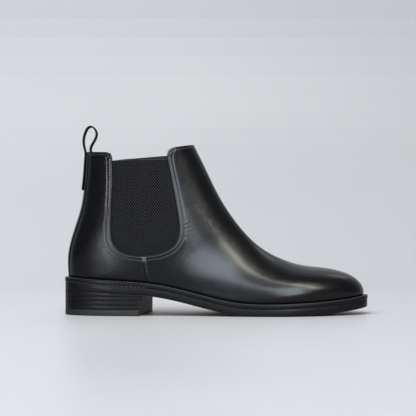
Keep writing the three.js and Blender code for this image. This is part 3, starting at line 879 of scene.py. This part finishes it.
def make_strip():
    """The strip over the back seam, from the collar into the welt."""
    boot = settings()
    top = crossing(2, *COLLAR_SECTIONS, lambda x: STRIP_TOP)
    foot = crossing(2, *HEEL_FEATHER, lasted)
    s = np.linspace(top, foot + 0.04, 90)[:, None]
    across = np.linspace(-1, 1, 33)[None]
    across = np.sign(across) * (1 - (1 - np.abs(across)) ** 1.25)
    r = bspline(SECTIONS, s)
    half = np.where(across < 0, r[..., 4], r[..., 5])
    sine = (np.abs(across) * STRIP_HALF_WIDTH / half) ** (1 / r[..., 8])
    angle = np.sign(across + 1e-9) * (math.pi - np.arcsin(sine))
    s = s + 0 * angle
    edge = STRIP_HALF_WIDTH * (1 - np.abs(across)) + 0 * s
    lift = 1.05 - 0.2 * fall(edge, 1.5, 0.5) - 0.22 * fall(edge, 0, 0.6)
    normal = last_normal(s, angle)
    points = last_point(s, angle) + normal * lift[..., None]
    bm = bmesh.new()
    add_grid(bm, points, normal)
    made = piece("back_strip_leather", bm, [finish("calf")], nodes=["back_strip"])
    thicken(made, 0.00085, 0.00025)
    bm = bmesh.new()
    sewn = int(np.argmin(np.abs(edge[0] - 1.5)))
    for column in (sewn, len(edge[0]) - 1 - sewn):
        run_stitches(bm, points[2:-4, column] + normal[2:-4, column] * 0.03, normal[2:-4, column],
                     boot.stitch_pitch / MM, boot.stitch_length / MM, boot.thread_width / MM)
    return piece("back_strip_stitches", bm, [finish("thread")])


def inside_window(flat):
    """Distance to the window's edge, positive where the elastic shows."""
    loop = np.vstack([WINDOW_LINE, WINDOW_LINE[:1]])
    x, z = flat[..., 0], flat[..., 1]
    odd = np.zeros(x.shape, bool)
    for a, b in zip(loop[:-1], loop[1:]):
        crosses = (a[1] > z) != (b[1] > z)
        with np.errstate(divide="ignore", invalid="ignore"):
            at = (b[0] - a[0]) * (z - a[1]) / (b[1] - a[1]) + a[0]
        odd ^= crosses & (x < at)
    return np.where(odd, 1, -1) * distance_to(flat, WINDOW_LINE)


HEM_DEPTH = 3.2
GORE_DEPTH = -1.72  # lift of the elastic where the leather covers its edge
GORE_RISE = 0.62


def hem_depth(x):
    """Height of the hem, which widens towards the front."""
    return HEM_DEPTH * smoothstep(x, 48, 110)


def make_gore(side, name, node):
    """Elastic stretched behind the window, its edges under the leather and its top folded into a hem."""
    edges = {k: smooth_line(v) for k, v in GORE_SIDES.items()}
    rows = np.concatenate([np.linspace(0, 0.045, 10)[:-1], np.linspace(0.045, 1, 74)])
    columns = np.linspace(0, 1, 66)
    u, v = np.meshgrid(columns, rows)
    flat = coons(walk(edges["left"], rows), walk(edges["right"], rows), walk(edges["top"], columns),
                 walk(edges["bottom"], columns), u, v)
    down = distance_to(flat, edges["top"][::8])
    inside = inside_window(flat)
    hem = hem_depth(flat[..., 0]) * (down < 40)
    lift = GORE_DEPTH + GORE_RISE * smoothstep(inside, 0, 3.0)
    lift += 0.28 * smoothstep(hem - down, -0.3, 0.6) * (inside > 0)
    lift -= 0.35 * smoothstep(inside, 8, 26) * smoothstep(down, 8, 30)
    points, normals = on_last(flat, side, lift)
    bm = bmesh.new()
    faces = add_grid(bm, points, normals, uv=flat)
    top = np.array([flat[0, 0], flat[0, -1]])
    for face in faces:
        centre = np.array(face.calc_center_median()) / MM + SHIFT
        line = np.interp(centre[0], top[:, 0], top[:, 1])
        face.material_index = int(line - centre[2] < hem_depth(centre[0]))
    made = piece(name, bm, [finish("elastic"), finish("hem")], nodes=[node])
    thicken(made, 0.0009, 0.0002)
    outline = np.vstack([edges["top"], edges["right"], edges["bottom"][::-1], edges["left"][::-1]])
    x, z = outline[:, 0], outline[:, 1]
    bm = bmesh.new()
    x = np.linspace(50, 103.5, 60)
    z = np.interp(x, top[:, 0], top[:, 1]) - hem_depth(x) - 0.35
    line = np.stack([x, z], -1)
    depth = GORE_DEPTH + GORE_RISE * smoothstep(inside_window(line), 0, 3.0) + 0.1
    points, normals = on_last(line, side, depth)
    run_stitches(bm, points, normals, 1.5, 1.35, 0.42)
    piece(name + "_hem_stitches", bm, [finish("pale thread")])
    return made


def make_lining(name, tables, node):
    bm = bmesh.new()
    for table in tables:
        to_collar = distance_to_collar(table, 6)
        lift = -1.42 - 1.6 * smoothstep(to_collar, 3.0, 9.0) - 0.25 * fall(to_collar, 0, 1.0)
        for side in (-1, 1):
            add_grid(bm, *on_last(table, side, lift))
    merge(bm)
    made = piece(name, bm, [finish("lining")], nodes=[node])
    return thicken(made, 0.0009, 0.0003)


TAPE_PATH = [(18.8, 166.2), (18.0, 171), (18.1, 176.6), (19.7, 182.3), (21.9, 186.5), (25.1, 188.45),
             (28.7, 186.7), (31.0, 182.4), (30.7, 178.1), (28.4, 173.2), (26.0, 168.8), (24.8, 165.0)]
TAPE_FOOT_OUTSIDE = 124.3
TAPE_FOOT_INSIDE = 142.5
# From the back ridge to the middle of the tape: at the collar, and lower down.
TAPE_OUTSIDE = (1.95, 2.4)
TAPE_INSIDE = (3.3, 4.9)


def make_pull_tab():
    """One tape: sewn up the outside of the back, free as a loop, and down the inside."""
    boot = settings()

    def leg(direction, offsets, start, end, steps):
        z = np.linspace(start, end, steps)
        back = ridge(2, -0.9, 6)
        offset = offsets[0] + (offsets[1] - offsets[0]) * smoothstep(z, 160, 148)
        return np.stack([np.interp(z, back[::-1, 1], back[::-1, 0]) + direction * offset, z], -1)

    outside = leg(-1, TAPE_OUTSIDE, TAPE_FOOT_OUTSIDE, 161.5, 14)
    inside = leg(1, TAPE_INSIDE, 161.5, TAPE_FOOT_INSIDE, 10)
    path = smooth_line(np.vstack([outside, TAPE_PATH, inside]), 12)
    path = walk(path, np.linspace(0, 1, 190))
    run = lengths(path)
    across = np.linspace(-1, 1, 25)
    y = across * TAPE_HALF_WIDTH
    section = bspline(SECTIONS, 0.5)
    sine = (np.abs(y) / section[4]) ** (1 / section[8])
    curve = (section[0] - section[2]) * (1 - np.sqrt(1 - sine**2)) / 2
    sewn = smoothstep(168 - path[:, 1], 0, 8)[:, None]
    x = path[:, None, 0] + curve[None] * sewn
    z = path[:, None, 1] + 0 * x
    points = np.stack([x, y[None] + 0 * x, z], -1)
    along = np.gradient(path, axis=0)
    out = np.stack([-along[:, 1], 0 * along[:, 0], along[:, 0]], -1)
    out /= np.linalg.norm(out, axis=1, keepdims=True)
    out = np.repeat(out[:, None], len(y), 1)
    selvedge = -0.22 * fall(TAPE_HALF_WIDTH - np.abs(y), 1.3, 0.5)[None, :, None]
    points = points + out * (0.65 + selvedge)
    uv = np.stack([np.repeat(y[None], len(path), 0), np.repeat(run[:, None], len(y), 1)], -1)
    bm = bmesh.new()
    faces = add_grid(bm, points, out, uv=uv)
    bmesh.ops.solidify(bm, geom=faces + list(bm.edges) + list(bm.verts), thickness=1.25 * MM)
    bmesh.ops.recalc_face_normals(bm, faces=bm.faces)
    bevel(bm, sharp_edges(bm, 50), 0.00035, 2)
    made = piece("pull_tab_tape", bm, [finish("tape")], body=None)
    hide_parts("pull_tab_anchor", "pull_tab_loop")
    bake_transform(made)
    bm = bmesh.new()
    for column in (4, len(y) - 5):
        rows = slice(4, 44)
        run_stitches(bm, points[rows, column], out[rows, column], boot.stitch_pitch / MM,
                     boot.stitch_length / MM, boot.thread_width / MM)
    for row in (4, 20):
        lane = points[row, 4:-4]
        run_stitches(bm, lane, out[row, 4:-4], 1.4, 1.2, boot.thread_width / MM)
    return piece("pull_tab_stitches", bm, [finish("thread")])


def make_upper_stitches():
    boot = settings()
    first, second = boot.stitch_inset / MM, (boot.stitch_inset + boot.stitch_rows_apart) / MM
    bm = bmesh.new()
    loop = np.vstack([walk(WINDOW_BACK_LINE, np.linspace(0.06, 1, 160)),
                      walk(WINDOW_FRONT_LINE, np.linspace(1, 0.04, 180))[1:]])
    for side in (-1, 1):
        for inset in (first, second):
            sew(bm, offset_line(loop, -inset), side)
        sew(bm, walk(COLLAR_FRONT_LINE, np.linspace(0.36, 0.93, 90)) - (0, 2.6), side)
        sew(bm, walk(COLLAR_BACK_LINE, np.linspace(0.09, 0.6, 60)) - (0, 2.2), side)
        sew(bm, SEAM_LINE[:-1] + (SEAM_ROW, 0), side)
        # Bar tack: close stitches laid across the seam under the window.
        for height in np.linspace(57.6, 54.2, 6):
            tack = np.array([[78.0, height + 0.3], [82.4, height - 0.3]])
            sew(bm, tack, side, lift=0.12, pitch=2.2, length=2.3, width=0.6)
    return piece("upper_stitches", bm, [finish("thread")])


# ---------------------------------------------------------------- the bottom


def sole_outline(margin, rise=-LASTED_DEPTH, number=300):
    """The plan outline of the foot at a height over the seat, moved outward by a margin."""
    def height(x):
        return seat(x) + rise

    heel, toe = crossing(2, *HEEL_FEATHER, height), crossing(2, *TOE_FEATHER, height)
    turn = np.linspace(0, math.pi, 160)
    s = heel + (toe - heel) * (0.5 - 0.5 * np.cos(turn))
    r = bspline(SECTIONS, s)
    low, high = np.zeros(len(s)), np.ones(len(s))
    for _ in range(40):
        k = (low + high) / 2
        above = r[:, 1] + k * (r[:, 3] - r[:, 1]) > height(r[:, 0] + k * (r[:, 2] - r[:, 0]))
        low, high = np.where(above, k, low), np.where(above, high, k)
    angle = np.arccos(1 - 2 * low)
    outer, inner = last_point(s, -angle), last_point(s, angle)
    loop = np.vstack([outer[:-1, :2], inner[:0:-1, :2], outer[:1, :2]])
    loop = walk(loop, np.linspace(0, 1, number + 1))[:-1]
    around = np.roll(loop, -1, 0) - np.roll(loop, 1, 0)
    around /= np.linalg.norm(around, axis=1, keepdims=True)
    return loop + margin * np.stack([around[:, 1], -around[:, 0]], -1)


def add_loop(bm, outline, height, filled=False):
    """A closed loop in millimetres over the ground; height follows x where it is a function."""
    made = bmesh.ops.create_circle(bm, cap_ends=filled, segments=len(outline), radius=1.0)["verts"]
    for vert, (x, y) in zip(made, outline):
        vert.co = (x, y, height(x) if callable(height) else height)
    return made


def loop_edges(verts):
    mine = set(verts)
    return [e for e in {e for v in verts for e in v.link_edges} if e.verts[0] in mine and e.verts[1] in mine]


def slab(outline, thickness):
    """A flat slab of an outline, its faces outward, in millimetres."""
    bm = bmesh.new()
    add_loop(bm, outline, 0.0, filled=True)
    raised = bmesh.ops.extrude_face_region(bm, geom=list(bm.faces))["geom"]
    top = [v for v in raised if isinstance(v, bmesh.types.BMVert)]
    bmesh.ops.translate(bm, vec=(0, 0, thickness), verts=top)
    bmesh.ops.recalc_face_normals(bm, faces=bm.faces)
    return bm


def slice_across(bm, start, end, step):
    """Cuts across the slab, so that it can follow the seat."""
    for x in np.arange(start, end, step):
        geometry = list(bm.verts) + list(bm.edges) + list(bm.faces)
        bmesh.ops.bisect_plane(bm, geom=geometry, plane_co=(x, 0, 0), plane_no=(1, 0, 0), dist=1e-4)


def follow(bm, low, high, thickness):
    """Bends a flat slab between two heights that follow x, and puts it in the frame."""
    for vert in bm.verts:
        x, y, z = vert.co
        bottom, top = float(low(x)), float(high(x))
        vert.co = ((x - SHIFT[0]) * MM, (y - SHIFT[1]) * MM, (bottom + z / thickness * (top - bottom)) * MM)


def tag_flat(bm, limit=0.75):
    """Faces that look up or down stay flat; the walls and their rounded edges are smooth."""
    for face in bm.faces:
        face.normal_update()
        face.tag = abs(face.normal.z) > limit and len(face.verts) > 4


def make_welt():
    """A rand that runs all round, its inner wall along the upper."""
    boot = settings()
    bm = bmesh.new()
    outer, inner_top = sole_outline(WELT_MARGIN), sole_outline(0.35, rise=0.0)
    inner_bottom = sole_outline(0.3)

    def below_seat(depth):
        return lambda x: float(seat(x)) - depth

    under, over, inside = below_seat(WELT_THICKNESS), below_seat(0.0), below_seat(1.8)
    rings = [add_loop(bm, outer, under), add_loop(bm, outer, over),
             add_loop(bm, sole_outline(1.7, rise=0.0), over), add_loop(bm, inner_top, inside),
             add_loop(bm, inner_bottom, under)]
    edges = [loop_edges(ring) for ring in rings]
    for i, ring in enumerate(edges):
        bmesh.ops.bridge_loops(bm, edges=ring + edges[(i + 1) % len(edges)])
    bmesh.ops.recalc_face_normals(bm, faces=bm.faces)
    rim = [e for e in edges[1] if e.is_valid]
    bevel(bm, rim, 0.75, 3)
    bevel(bm, [e for e in edges[0] if e.is_valid], 0.35, 2)
    for vert in bm.verts:
        vert.co = (np.array(vert.co) - SHIFT) * MM
    made = piece("welt_leather", bm, [finish("edge")], nodes=["welt"])
    bm = bmesh.new()
    lane = sole_outline(2.9)
    lane = np.vstack([lane, lane[:1]])
    points = np.column_stack([lane, seat(lane[:, 0]) + 0.02])
    normals = np.tile([0.0, 0.0, 1.0], (len(points), 1))
    run_stitches(bm, points, normals, boot.welt_pitch / MM, boot.welt_pitch / MM * 0.8, 0.75)
    groove = sole_outline(OUTSOLE_MARGIN + 0.1)
    groove = groove[groove[:, 0] < 84]
    groove = groove[np.argsort(np.arctan2(groove[:, 1], groove[:, 0] - 84) % (2 * math.pi))]
    depth = seat(groove[:, 0]) - WELT_THICKNESS - LAYER_GAP / 2
    outward = np.gradient(groove, axis=0)
    outward = np.column_stack([outward[:, 1], -outward[:, 0], 0 * depth])
    run_stitches(bm, np.column_stack([groove, depth]), outward, 4.3, 2.9, 0.7, tilt=0.12)
    piece("welt_stitches", bm, [finish("pale thread")])
    return made


def make_outsole():
    thickness = OUTSOLE_THICKNESS
    bm = slab(sole_outline(OUTSOLE_MARGIN), thickness)
    bevel(bm, [e for e in sharp_edges(bm) if e.verts[0].co.z > 1], 0.35, 2)
    bevel(bm, [e for e in sharp_edges(bm, 60) if max(v.co.z for v in e.verts) < 0.01], 0.9, 3)
    slice_across(bm, -4, 306, 4.0)
    top = WELT_THICKNESS + LAYER_GAP
    for face in bm.faces:
        face.normal_update()
        face.material_index = int(face.normal.z < -0.8)
    tag_flat(bm)
    follow(bm, lambda x: max(0.0, seat(x) - top - thickness), lambda x: seat(x) - top, thickness)
    made = piece("outsole_leather", bm, [finish("edge"), finish("sole")], nodes=["outsole"])
    bm = bmesh.new()
    lane = sole_outline(-2.5)
    lane = lane[lane[:, 0] > 100]
    order = np.argsort(np.arctan2(lane[:, 1], lane[:, 0] - 100))
    lane = lane[order]
    points = np.column_stack([lane, np.maximum(0.0, seat(lane[:, 0]) - top - thickness) + 0.3])
    normals = np.tile([0.0, 0.0, -1.0], (len(points), 1))
    run_stitches(bm, points, normals, 3.2, 2.5, 0.7)
    piece("outsole_stitches", bm, [finish("pale thread")])
    return made


def heel_layer(name, low, high, material, node, rounding):
    """One layer of the heel, cut off along the slanted breast."""
    thickness = 4.0
    bm = slab(sole_outline(OUTSOLE_MARGIN), thickness)
    across = Vector((BREAST[1] - BREAST[0], 2 * BREAST[2], 0))
    out = Vector((across.y, -across.x, 0)).normalized()
    middle = Vector(((BREAST[0] + BREAST[1]) / 2, 0, 0))
    geometry = list(bm.verts) + list(bm.edges) + list(bm.faces)
    cut = bmesh.ops.bisect_plane(bm, geom=geometry, plane_co=middle, plane_no=out,
                                 clear_outer=True)["geom_cut"]
    bmesh.ops.edgeloop_fill(bm, edges=[e for e in cut if isinstance(e, bmesh.types.BMEdge)])
    bmesh.ops.recalc_face_normals(bm, faces=bm.faces)
    for face in bm.faces:
        face.normal_update()
        face.material_index = int(face.normal.dot(out) > 0.9)
    bevel(bm, sharp_edges(bm), rounding / (high(40) - low(40)) * thickness, 2)
    slice_across(bm, -4, 90, 4.0)
    tag_flat(bm)
    follow(bm, low, high, thickness)
    return piece(name, bm, [finish(material), finish("breast")], nodes=[node])


def make_heel():
    seam = 0.02
    for i, low in enumerate(HEEL_LAYERS[:-1]):
        name = "heel_top_rubber" if i == 0 else f"heel_lift_leather_{i}"
        node = "heel_top_piece" if i == 0 else f"heel_lift_{i}"
        high = HEEL_LAYERS[i + 1] - seam
        heel_layer(name, lambda x, z=low: z, lambda x, z=high: z, "rubber" if i == 0 else "edge",
                   node, 0.1 if i else 0.3)
    under = WELT_THICKNESS + OUTSOLE_THICKNESS + 2 * LAYER_GAP
    heel_layer("heel_wedge_leather", lambda x: HEEL_LAYERS[-1], lambda x: seat(x) - under + 0.25, "edge",
               "heel_wedge", 0.12)


def make_nails():
    """Brass nails with domed heads, sunk a little into the top piece."""
    boot = settings()
    for number, (x, y) in enumerate(NAIL_PLACES, 1):
        bm = bmesh.new()
        spot = Matrix.Translation(Vector(((x - SHIFT[0]) * MM, (y - SHIFT[1]) * MM, 0)))
        head = spot @ Matrix.Translation((0, 0, 0.0006))
        bmesh.ops.create_uvsphere(bm, u_segments=20, v_segments=10, radius=boot.nail_head / 2,
                                  matrix=head @ Matrix.Diagonal((1, 1, 0.5, 1)))
        shank = spot @ Matrix.Translation((0, 0, 0.005))
        bmesh.ops.create_cone(bm, cap_ends=True, segments=16, radius1=boot.nail_head * 0.33,
                              radius2=boot.nail_head * 0.2, depth=0.008, matrix=shank)
        piece(f"nail_{number}", bm, [finish("brass")], nodes=[f"heel_nail_{number}"])


def make_sock():
    """The sock liner, a thin sheet of lining leather over the insole."""
    thickness = 1.0
    bm = slab(sole_outline(-4.4, rise=1.2), thickness)
    bevel(bm, sharp_edges(bm), 0.3, 2)
    slice_across(bm, 0, 300, 5.0)
    tag_flat(bm)
    follow(bm, lambda x: seat(x) + 0.7, lambda x: seat(x) + 1.7, thickness)
    return piece("sock_leather", bm, [finish("lining")], nodes=["sock_liner"])


# ---------------------------------------------------------------- settings


def length(name, description, default):
    return FloatProperty(name=name, description=description, default=default, min=0.0,
                         unit="LENGTH", precision=5)


def tint(name, description, default):
    return FloatVectorProperty(name=name, description=description, default=default, subtype="COLOR", size=3,
                               min=0.0, max=1.0)


class BootSettings(bpy.types.PropertyGroup):
    leather_thickness: length("Leather", "Thickness of the upper leather", 0.0013)
    leather_edge: length("Leather edge", "Rounding of the cut and folded leather edges", 0.00032)
    grain_size: length("Grain", "Size of the leather's grain", 0.0007)
    stitch_length: length("Stitch", "Length of a stitch on the upper", 0.0021)
    stitch_pitch: length("Stitch pitch", "Distance from stitch to stitch on the upper", 0.0027)
    stitch_inset: length("Stitch inset", "Distance from the leather's edge to the first row", 0.0016)
    stitch_rows_apart: length("Row spacing", "Distance between the two rows round the elastic", 0.0029)
    thread_width: length("Thread", "Width of the upper's thread", 0.00055)
    elastic_pitch: length("Elastic repeat", "Width of one column of the elastic's weave", 0.00125)
    welt_pitch: length("Welt stitch", "Distance from stitch to stitch on the welt", 0.0034)
    nail_head: length("Nail head", "Diameter of a heel nail's head", 0.0021)
    density: FloatProperty(name="Density", description="How finely the leather is divided", default=1.0,
                           min=0.3, max=1.5)
    calf_colour: tint("Calf", "Colour of the upper leather", (0.0022, 0.0022, 0.0026))
    thread_colour: tint("Thread", "Colour of the upper's thread", (0.04, 0.04, 0.045))
    welt_thread_colour: tint("Welt thread", "Colour of the welt's thread", (0.03, 0.029, 0.03))
    elastic_colour: tint("Elastic", "Colour of the elastic's ground", (0.0006, 0.0006, 0.0008))
    float_colour: tint("Elastic floats", "Colour of the elastic's slanted threads", (0.042, 0.042, 0.047))
    tape_colour: tint("Webbing", "Colour of the pull tab", (0.0022, 0.0022, 0.0026))
    lining_colour: tint("Lining", "Colour of the lining", (0.018, 0.017, 0.017))
    edge_colour: tint("Edges", "Colour of the welt, the sole's edge and the heel", (0.003, 0.003, 0.0035))
    breast_colour: tint("Heel breast", "Colour of the heel's front face", (0.018, 0.012, 0.009))
    sole_colour: tint("Sole", "Colour of the sole's tread side", (0.42, 0.2, 0.1))
    rubber_colour: tint("Heel rubber", "Colour of the heel's top piece", (0.005, 0.005, 0.0055))
    floor_colour: tint("Floor", "Colour of the studio floor", (0.72, 0.735, 0.76))
    light_power: FloatProperty(name="Light", description="Strength of the studio light", default=1.0, min=0.0)


# ---------------------------------------------------------------- operators


class BootOperator(bpy.types.Operator):
    bl_options = {"REGISTER", "UNDO"}


class BOOT_OT_vamp(BootOperator):
    """Model the vamp and its folded collar"""

    bl_idname = "boot.vamp"
    bl_label = "Vamp"

    def execute(self, context):
        make_leather("vamp_leather", vamp_tables(settings().density), (-1, 1), ["vamp"])
        return {"FINISHED"}


class BOOT_OT_quarters(BootOperator):
    """Model the outer and inner quarter"""

    bl_idname = "boot.quarters"
    bl_label = "Quarters"

    def execute(self, context):
        tables = quarter_tables(settings().density)
        make_leather("quarter_outer_leather", tables, (-1,), ["quarter_outer"])
        make_leather("quarter_inner_leather", tables, (1,), ["quarter_inner"])
        return {"FINISHED"}


class BOOT_OT_back_strip(BootOperator):
    """Model the strip over the back seam"""

    bl_idname = "boot.back_strip"
    bl_label = "Back Strip"

    def execute(self, context):
        make_strip()
        return {"FINISHED"}


class BOOT_OT_gores(BootOperator):
    """Model the elastic on both sides"""

    bl_idname = "boot.gores"
    bl_label = "Gores"

    def execute(self, context):
        make_gore(-1, "gore_outer_elastic", "gore_outer")
        make_gore(1, "gore_inner_elastic", "gore_inner")
        return {"FINISHED"}


class BOOT_OT_lining(BootOperator):
    """Model the lining and the sock liner"""

    bl_idname = "boot.lining"
    bl_label = "Lining"

    def execute(self, context):
        coarse = 0.5 * settings().density
        make_lining("vamp_lining_leather", vamp_tables(coarse), "vamp_lining")
        make_lining("heel_lining_leather", quarter_tables(coarse), "heel_lining")
        make_sock()
        return {"FINISHED"}


class BOOT_OT_pull_tab(BootOperator):
    """Model the webbing pull tab"""

    bl_idname = "boot.pull_tab"
    bl_label = "Pull Tab"

    def execute(self, context):
        make_pull_tab()
        return {"FINISHED"}


class BOOT_OT_stitches(BootOperator):
    """Sew the upper"""

    bl_idname = "boot.stitches"
    bl_label = "Stitches"

    def execute(self, context):
        make_upper_stitches()
        return {"FINISHED"}


class BOOT_OT_sole(BootOperator):
    """Model the welt and the outsole"""

    bl_idname = "boot.sole"
    bl_label = "Welt and Sole"

    def execute(self, context):
        make_welt()
        make_outsole()
        return {"FINISHED"}


class BOOT_OT_heel(BootOperator):
    """Model the stacked heel and its nails"""

    bl_idname = "boot.heel"
    bl_label = "Heel"

    def execute(self, context):
        make_heel()
        make_nails()
        return {"FINISHED"}


class BOOT_OT_hidden(BootOperator):
    """Give the pieces inside the boot their finishes"""

    bl_idname = "boot.hidden"
    bl_label = "Inside Pieces"

    def execute(self, context):
        kinds = {"heel_counter": "board", "toe_puff": "board", "insole": "board", "cork_filler": "cork",
                 "shank": "steel"}
        for node, kind in kinds.items():
            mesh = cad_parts[node].data
            mesh.materials.clear()
            mesh.materials.append(finish(kind))
        return {"FINISHED"}


class BOOT_OT_stage(BootOperator):
    """Set the floor, the backdrop, the lights and the camera"""

    bl_idname = "boot.stage"
    bl_label = "Stage"

    def execute(self, context):
        make_stage()
        return {"FINISHED"}


AIM = Vector((0.0, 0.0, 0.08))


def toward(azimuth, elevation, distance):
    """A place round the boot: azimuth from the front towards the toe, elevation over the floor."""
    a, e = math.radians(azimuth), math.radians(elevation)
    return AIM + distance * Vector((math.sin(a) * math.cos(e), -math.cos(a) * math.cos(e), math.sin(e)))


def panel_light(name, low, high, width, power, colour=(1, 1, 1)):
    """A soft rectangular light between two places, turned to the boot."""
    start, end = toward(*low), toward(*high)
    data = bpy.data.lights.new(name, "AREA")
    data.shape = "RECTANGLE"
    data.size, data.size_y = width, (end - start).length
    data.energy = power * settings().light_power
    data.color = colour
    lamp = bpy.data.objects.new(name, data)
    bpy.context.scene.collection.objects.link(lamp)
    middle = (start + end) / 2
    away = (middle - AIM).normalized()
    up = (end - start).normalized()
    side = up.cross(away).normalized()
    turn = Matrix((side, away.cross(side), away)).transposed().to_4x4()
    lamp.matrix_world = Matrix.Translation(middle) @ turn
    return lamp


def light_link(lamp, target, state):
    """The lamp lights only the target ("INCLUDE") or everything but the target ("EXCLUDE")."""
    receivers = bpy.data.collections.new(lamp.name + " receivers")
    receivers.objects.link(target)
    receivers.collection_objects[0].light_linking.link_state = state
    lamp.light_linking.receiver_collection = receivers


def make_stage():
    bm = bmesh.new()
    half, near, wall, radius, steps = 4.0, -3.0, 0.55, 0.5, 24
    profile = [(near, 0.0), (wall, 0.0)]
    profile += [(wall + radius * math.sin(a), radius - radius * math.cos(a))
                for a in np.linspace(0, math.pi / 2, steps)[1:]]
    profile += [(wall + radius, 4.0)]
    made = bmesh.ops.create_grid(bm, x_segments=1, y_segments=len(profile) - 1, size=1.0)["verts"]
    column, row = fine_steps(made, 2, len(profile))
    for vert, i, j in zip(made, column, row):
        vert.co = ((2 * i - 1) * half, profile[j][0], profile[j][1])
    bmesh.ops.recalc_face_normals(bm, faces=bm.faces)
    floor = piece("studio_floor", bm, [finish("floor")], body=None)

    camera = bpy.data.cameras.new("camera")
    camera.lens = 127.5
    camera.sensor_width = 36.0
    view = bpy.data.objects.new("camera", camera)
    bpy.context.scene.collection.objects.link(view)
    view.location = (-0.009, -1.4868, 0.1064)
    view.rotation_euler = (math.pi / 2, 0, 0)
    bpy.context.scene.camera = view
    bpy.context.scene.view_settings.view_transform = "Standard"

    world = bpy.data.worlds.new("studio")
    bpy.context.scene.world = world
    world.use_nodes = True
    world.node_tree.nodes["Background"].inputs["Color"].default_value = (0.85, 0.9, 1.0, 1)
    world.node_tree.nodes["Background"].inputs["Strength"].default_value = 0.08
    lamps = [
        panel_light("instep strip", (45, 24, 1.7), (18, 72, 1.7), 0.11, 34, (1, 0.97, 0.86)),
        panel_light("front softbox", (17, 8, 2.0), (6, 52, 2.0), 0.8, 74, (0.82, 0.92, 1.0)),
        panel_light("low side", (-24, -4, 1.5), (-36, 15, 1.5), 0.15, 13, (0.92, 0.95, 1.0)),
        panel_light("rear toe", (150, 25, 1.8), (150, 50, 1.8), 0.8, 6),
        panel_light("rear heel", (-140, 20, 1.8), (-140, 50, 1.8), 0.8, 5),
    ]
    for lamp in lamps:
        light_link(lamp, floor, "EXCLUDE")
    light_link(panel_light("floor wash", (-30, 38, 3.0), (-30, 85, 3.0), 2.6, 86), floor, "INCLUDE")


class BOOT_PT_panel(bpy.types.Panel):
    """Boot settings and the steps that make it"""

    bl_idname = "BOOT_PT_panel"
    bl_label = "Chelsea Boot"
    bl_space_type = "VIEW_3D"
    bl_region_type = "UI"
    bl_category = "Boot"

    def draw(self, context):
        for name in BootSettings.__annotations__:
            self.layout.prop(context.scene.boot, name)
        for step in STEPS:
            self.layout.operator(step.bl_idname)


STEPS = (BOOT_OT_stage, BOOT_OT_vamp, BOOT_OT_quarters, BOOT_OT_back_strip, BOOT_OT_gores, BOOT_OT_lining,
         BOOT_OT_pull_tab, BOOT_OT_stitches, BOOT_OT_sole, BOOT_OT_heel, BOOT_OT_hidden)
CLASSES = (BootSettings, *STEPS, BOOT_PT_panel)


def register():
    for each in CLASSES:
        bpy.utils.register_class(each)
    bpy.types.Scene.boot = PointerProperty(type=BootSettings)


def unregister():
    del bpy.types.Scene.boot
    for each in reversed(CLASSES):
        bpy.utils.unregister_class(each)


def main():
    register()
    for step in STEPS:
        group, name = step.bl_idname.split(".")
        getattr(getattr(bpy.ops, group), name)()


if __name__ == "__main__":
    main()
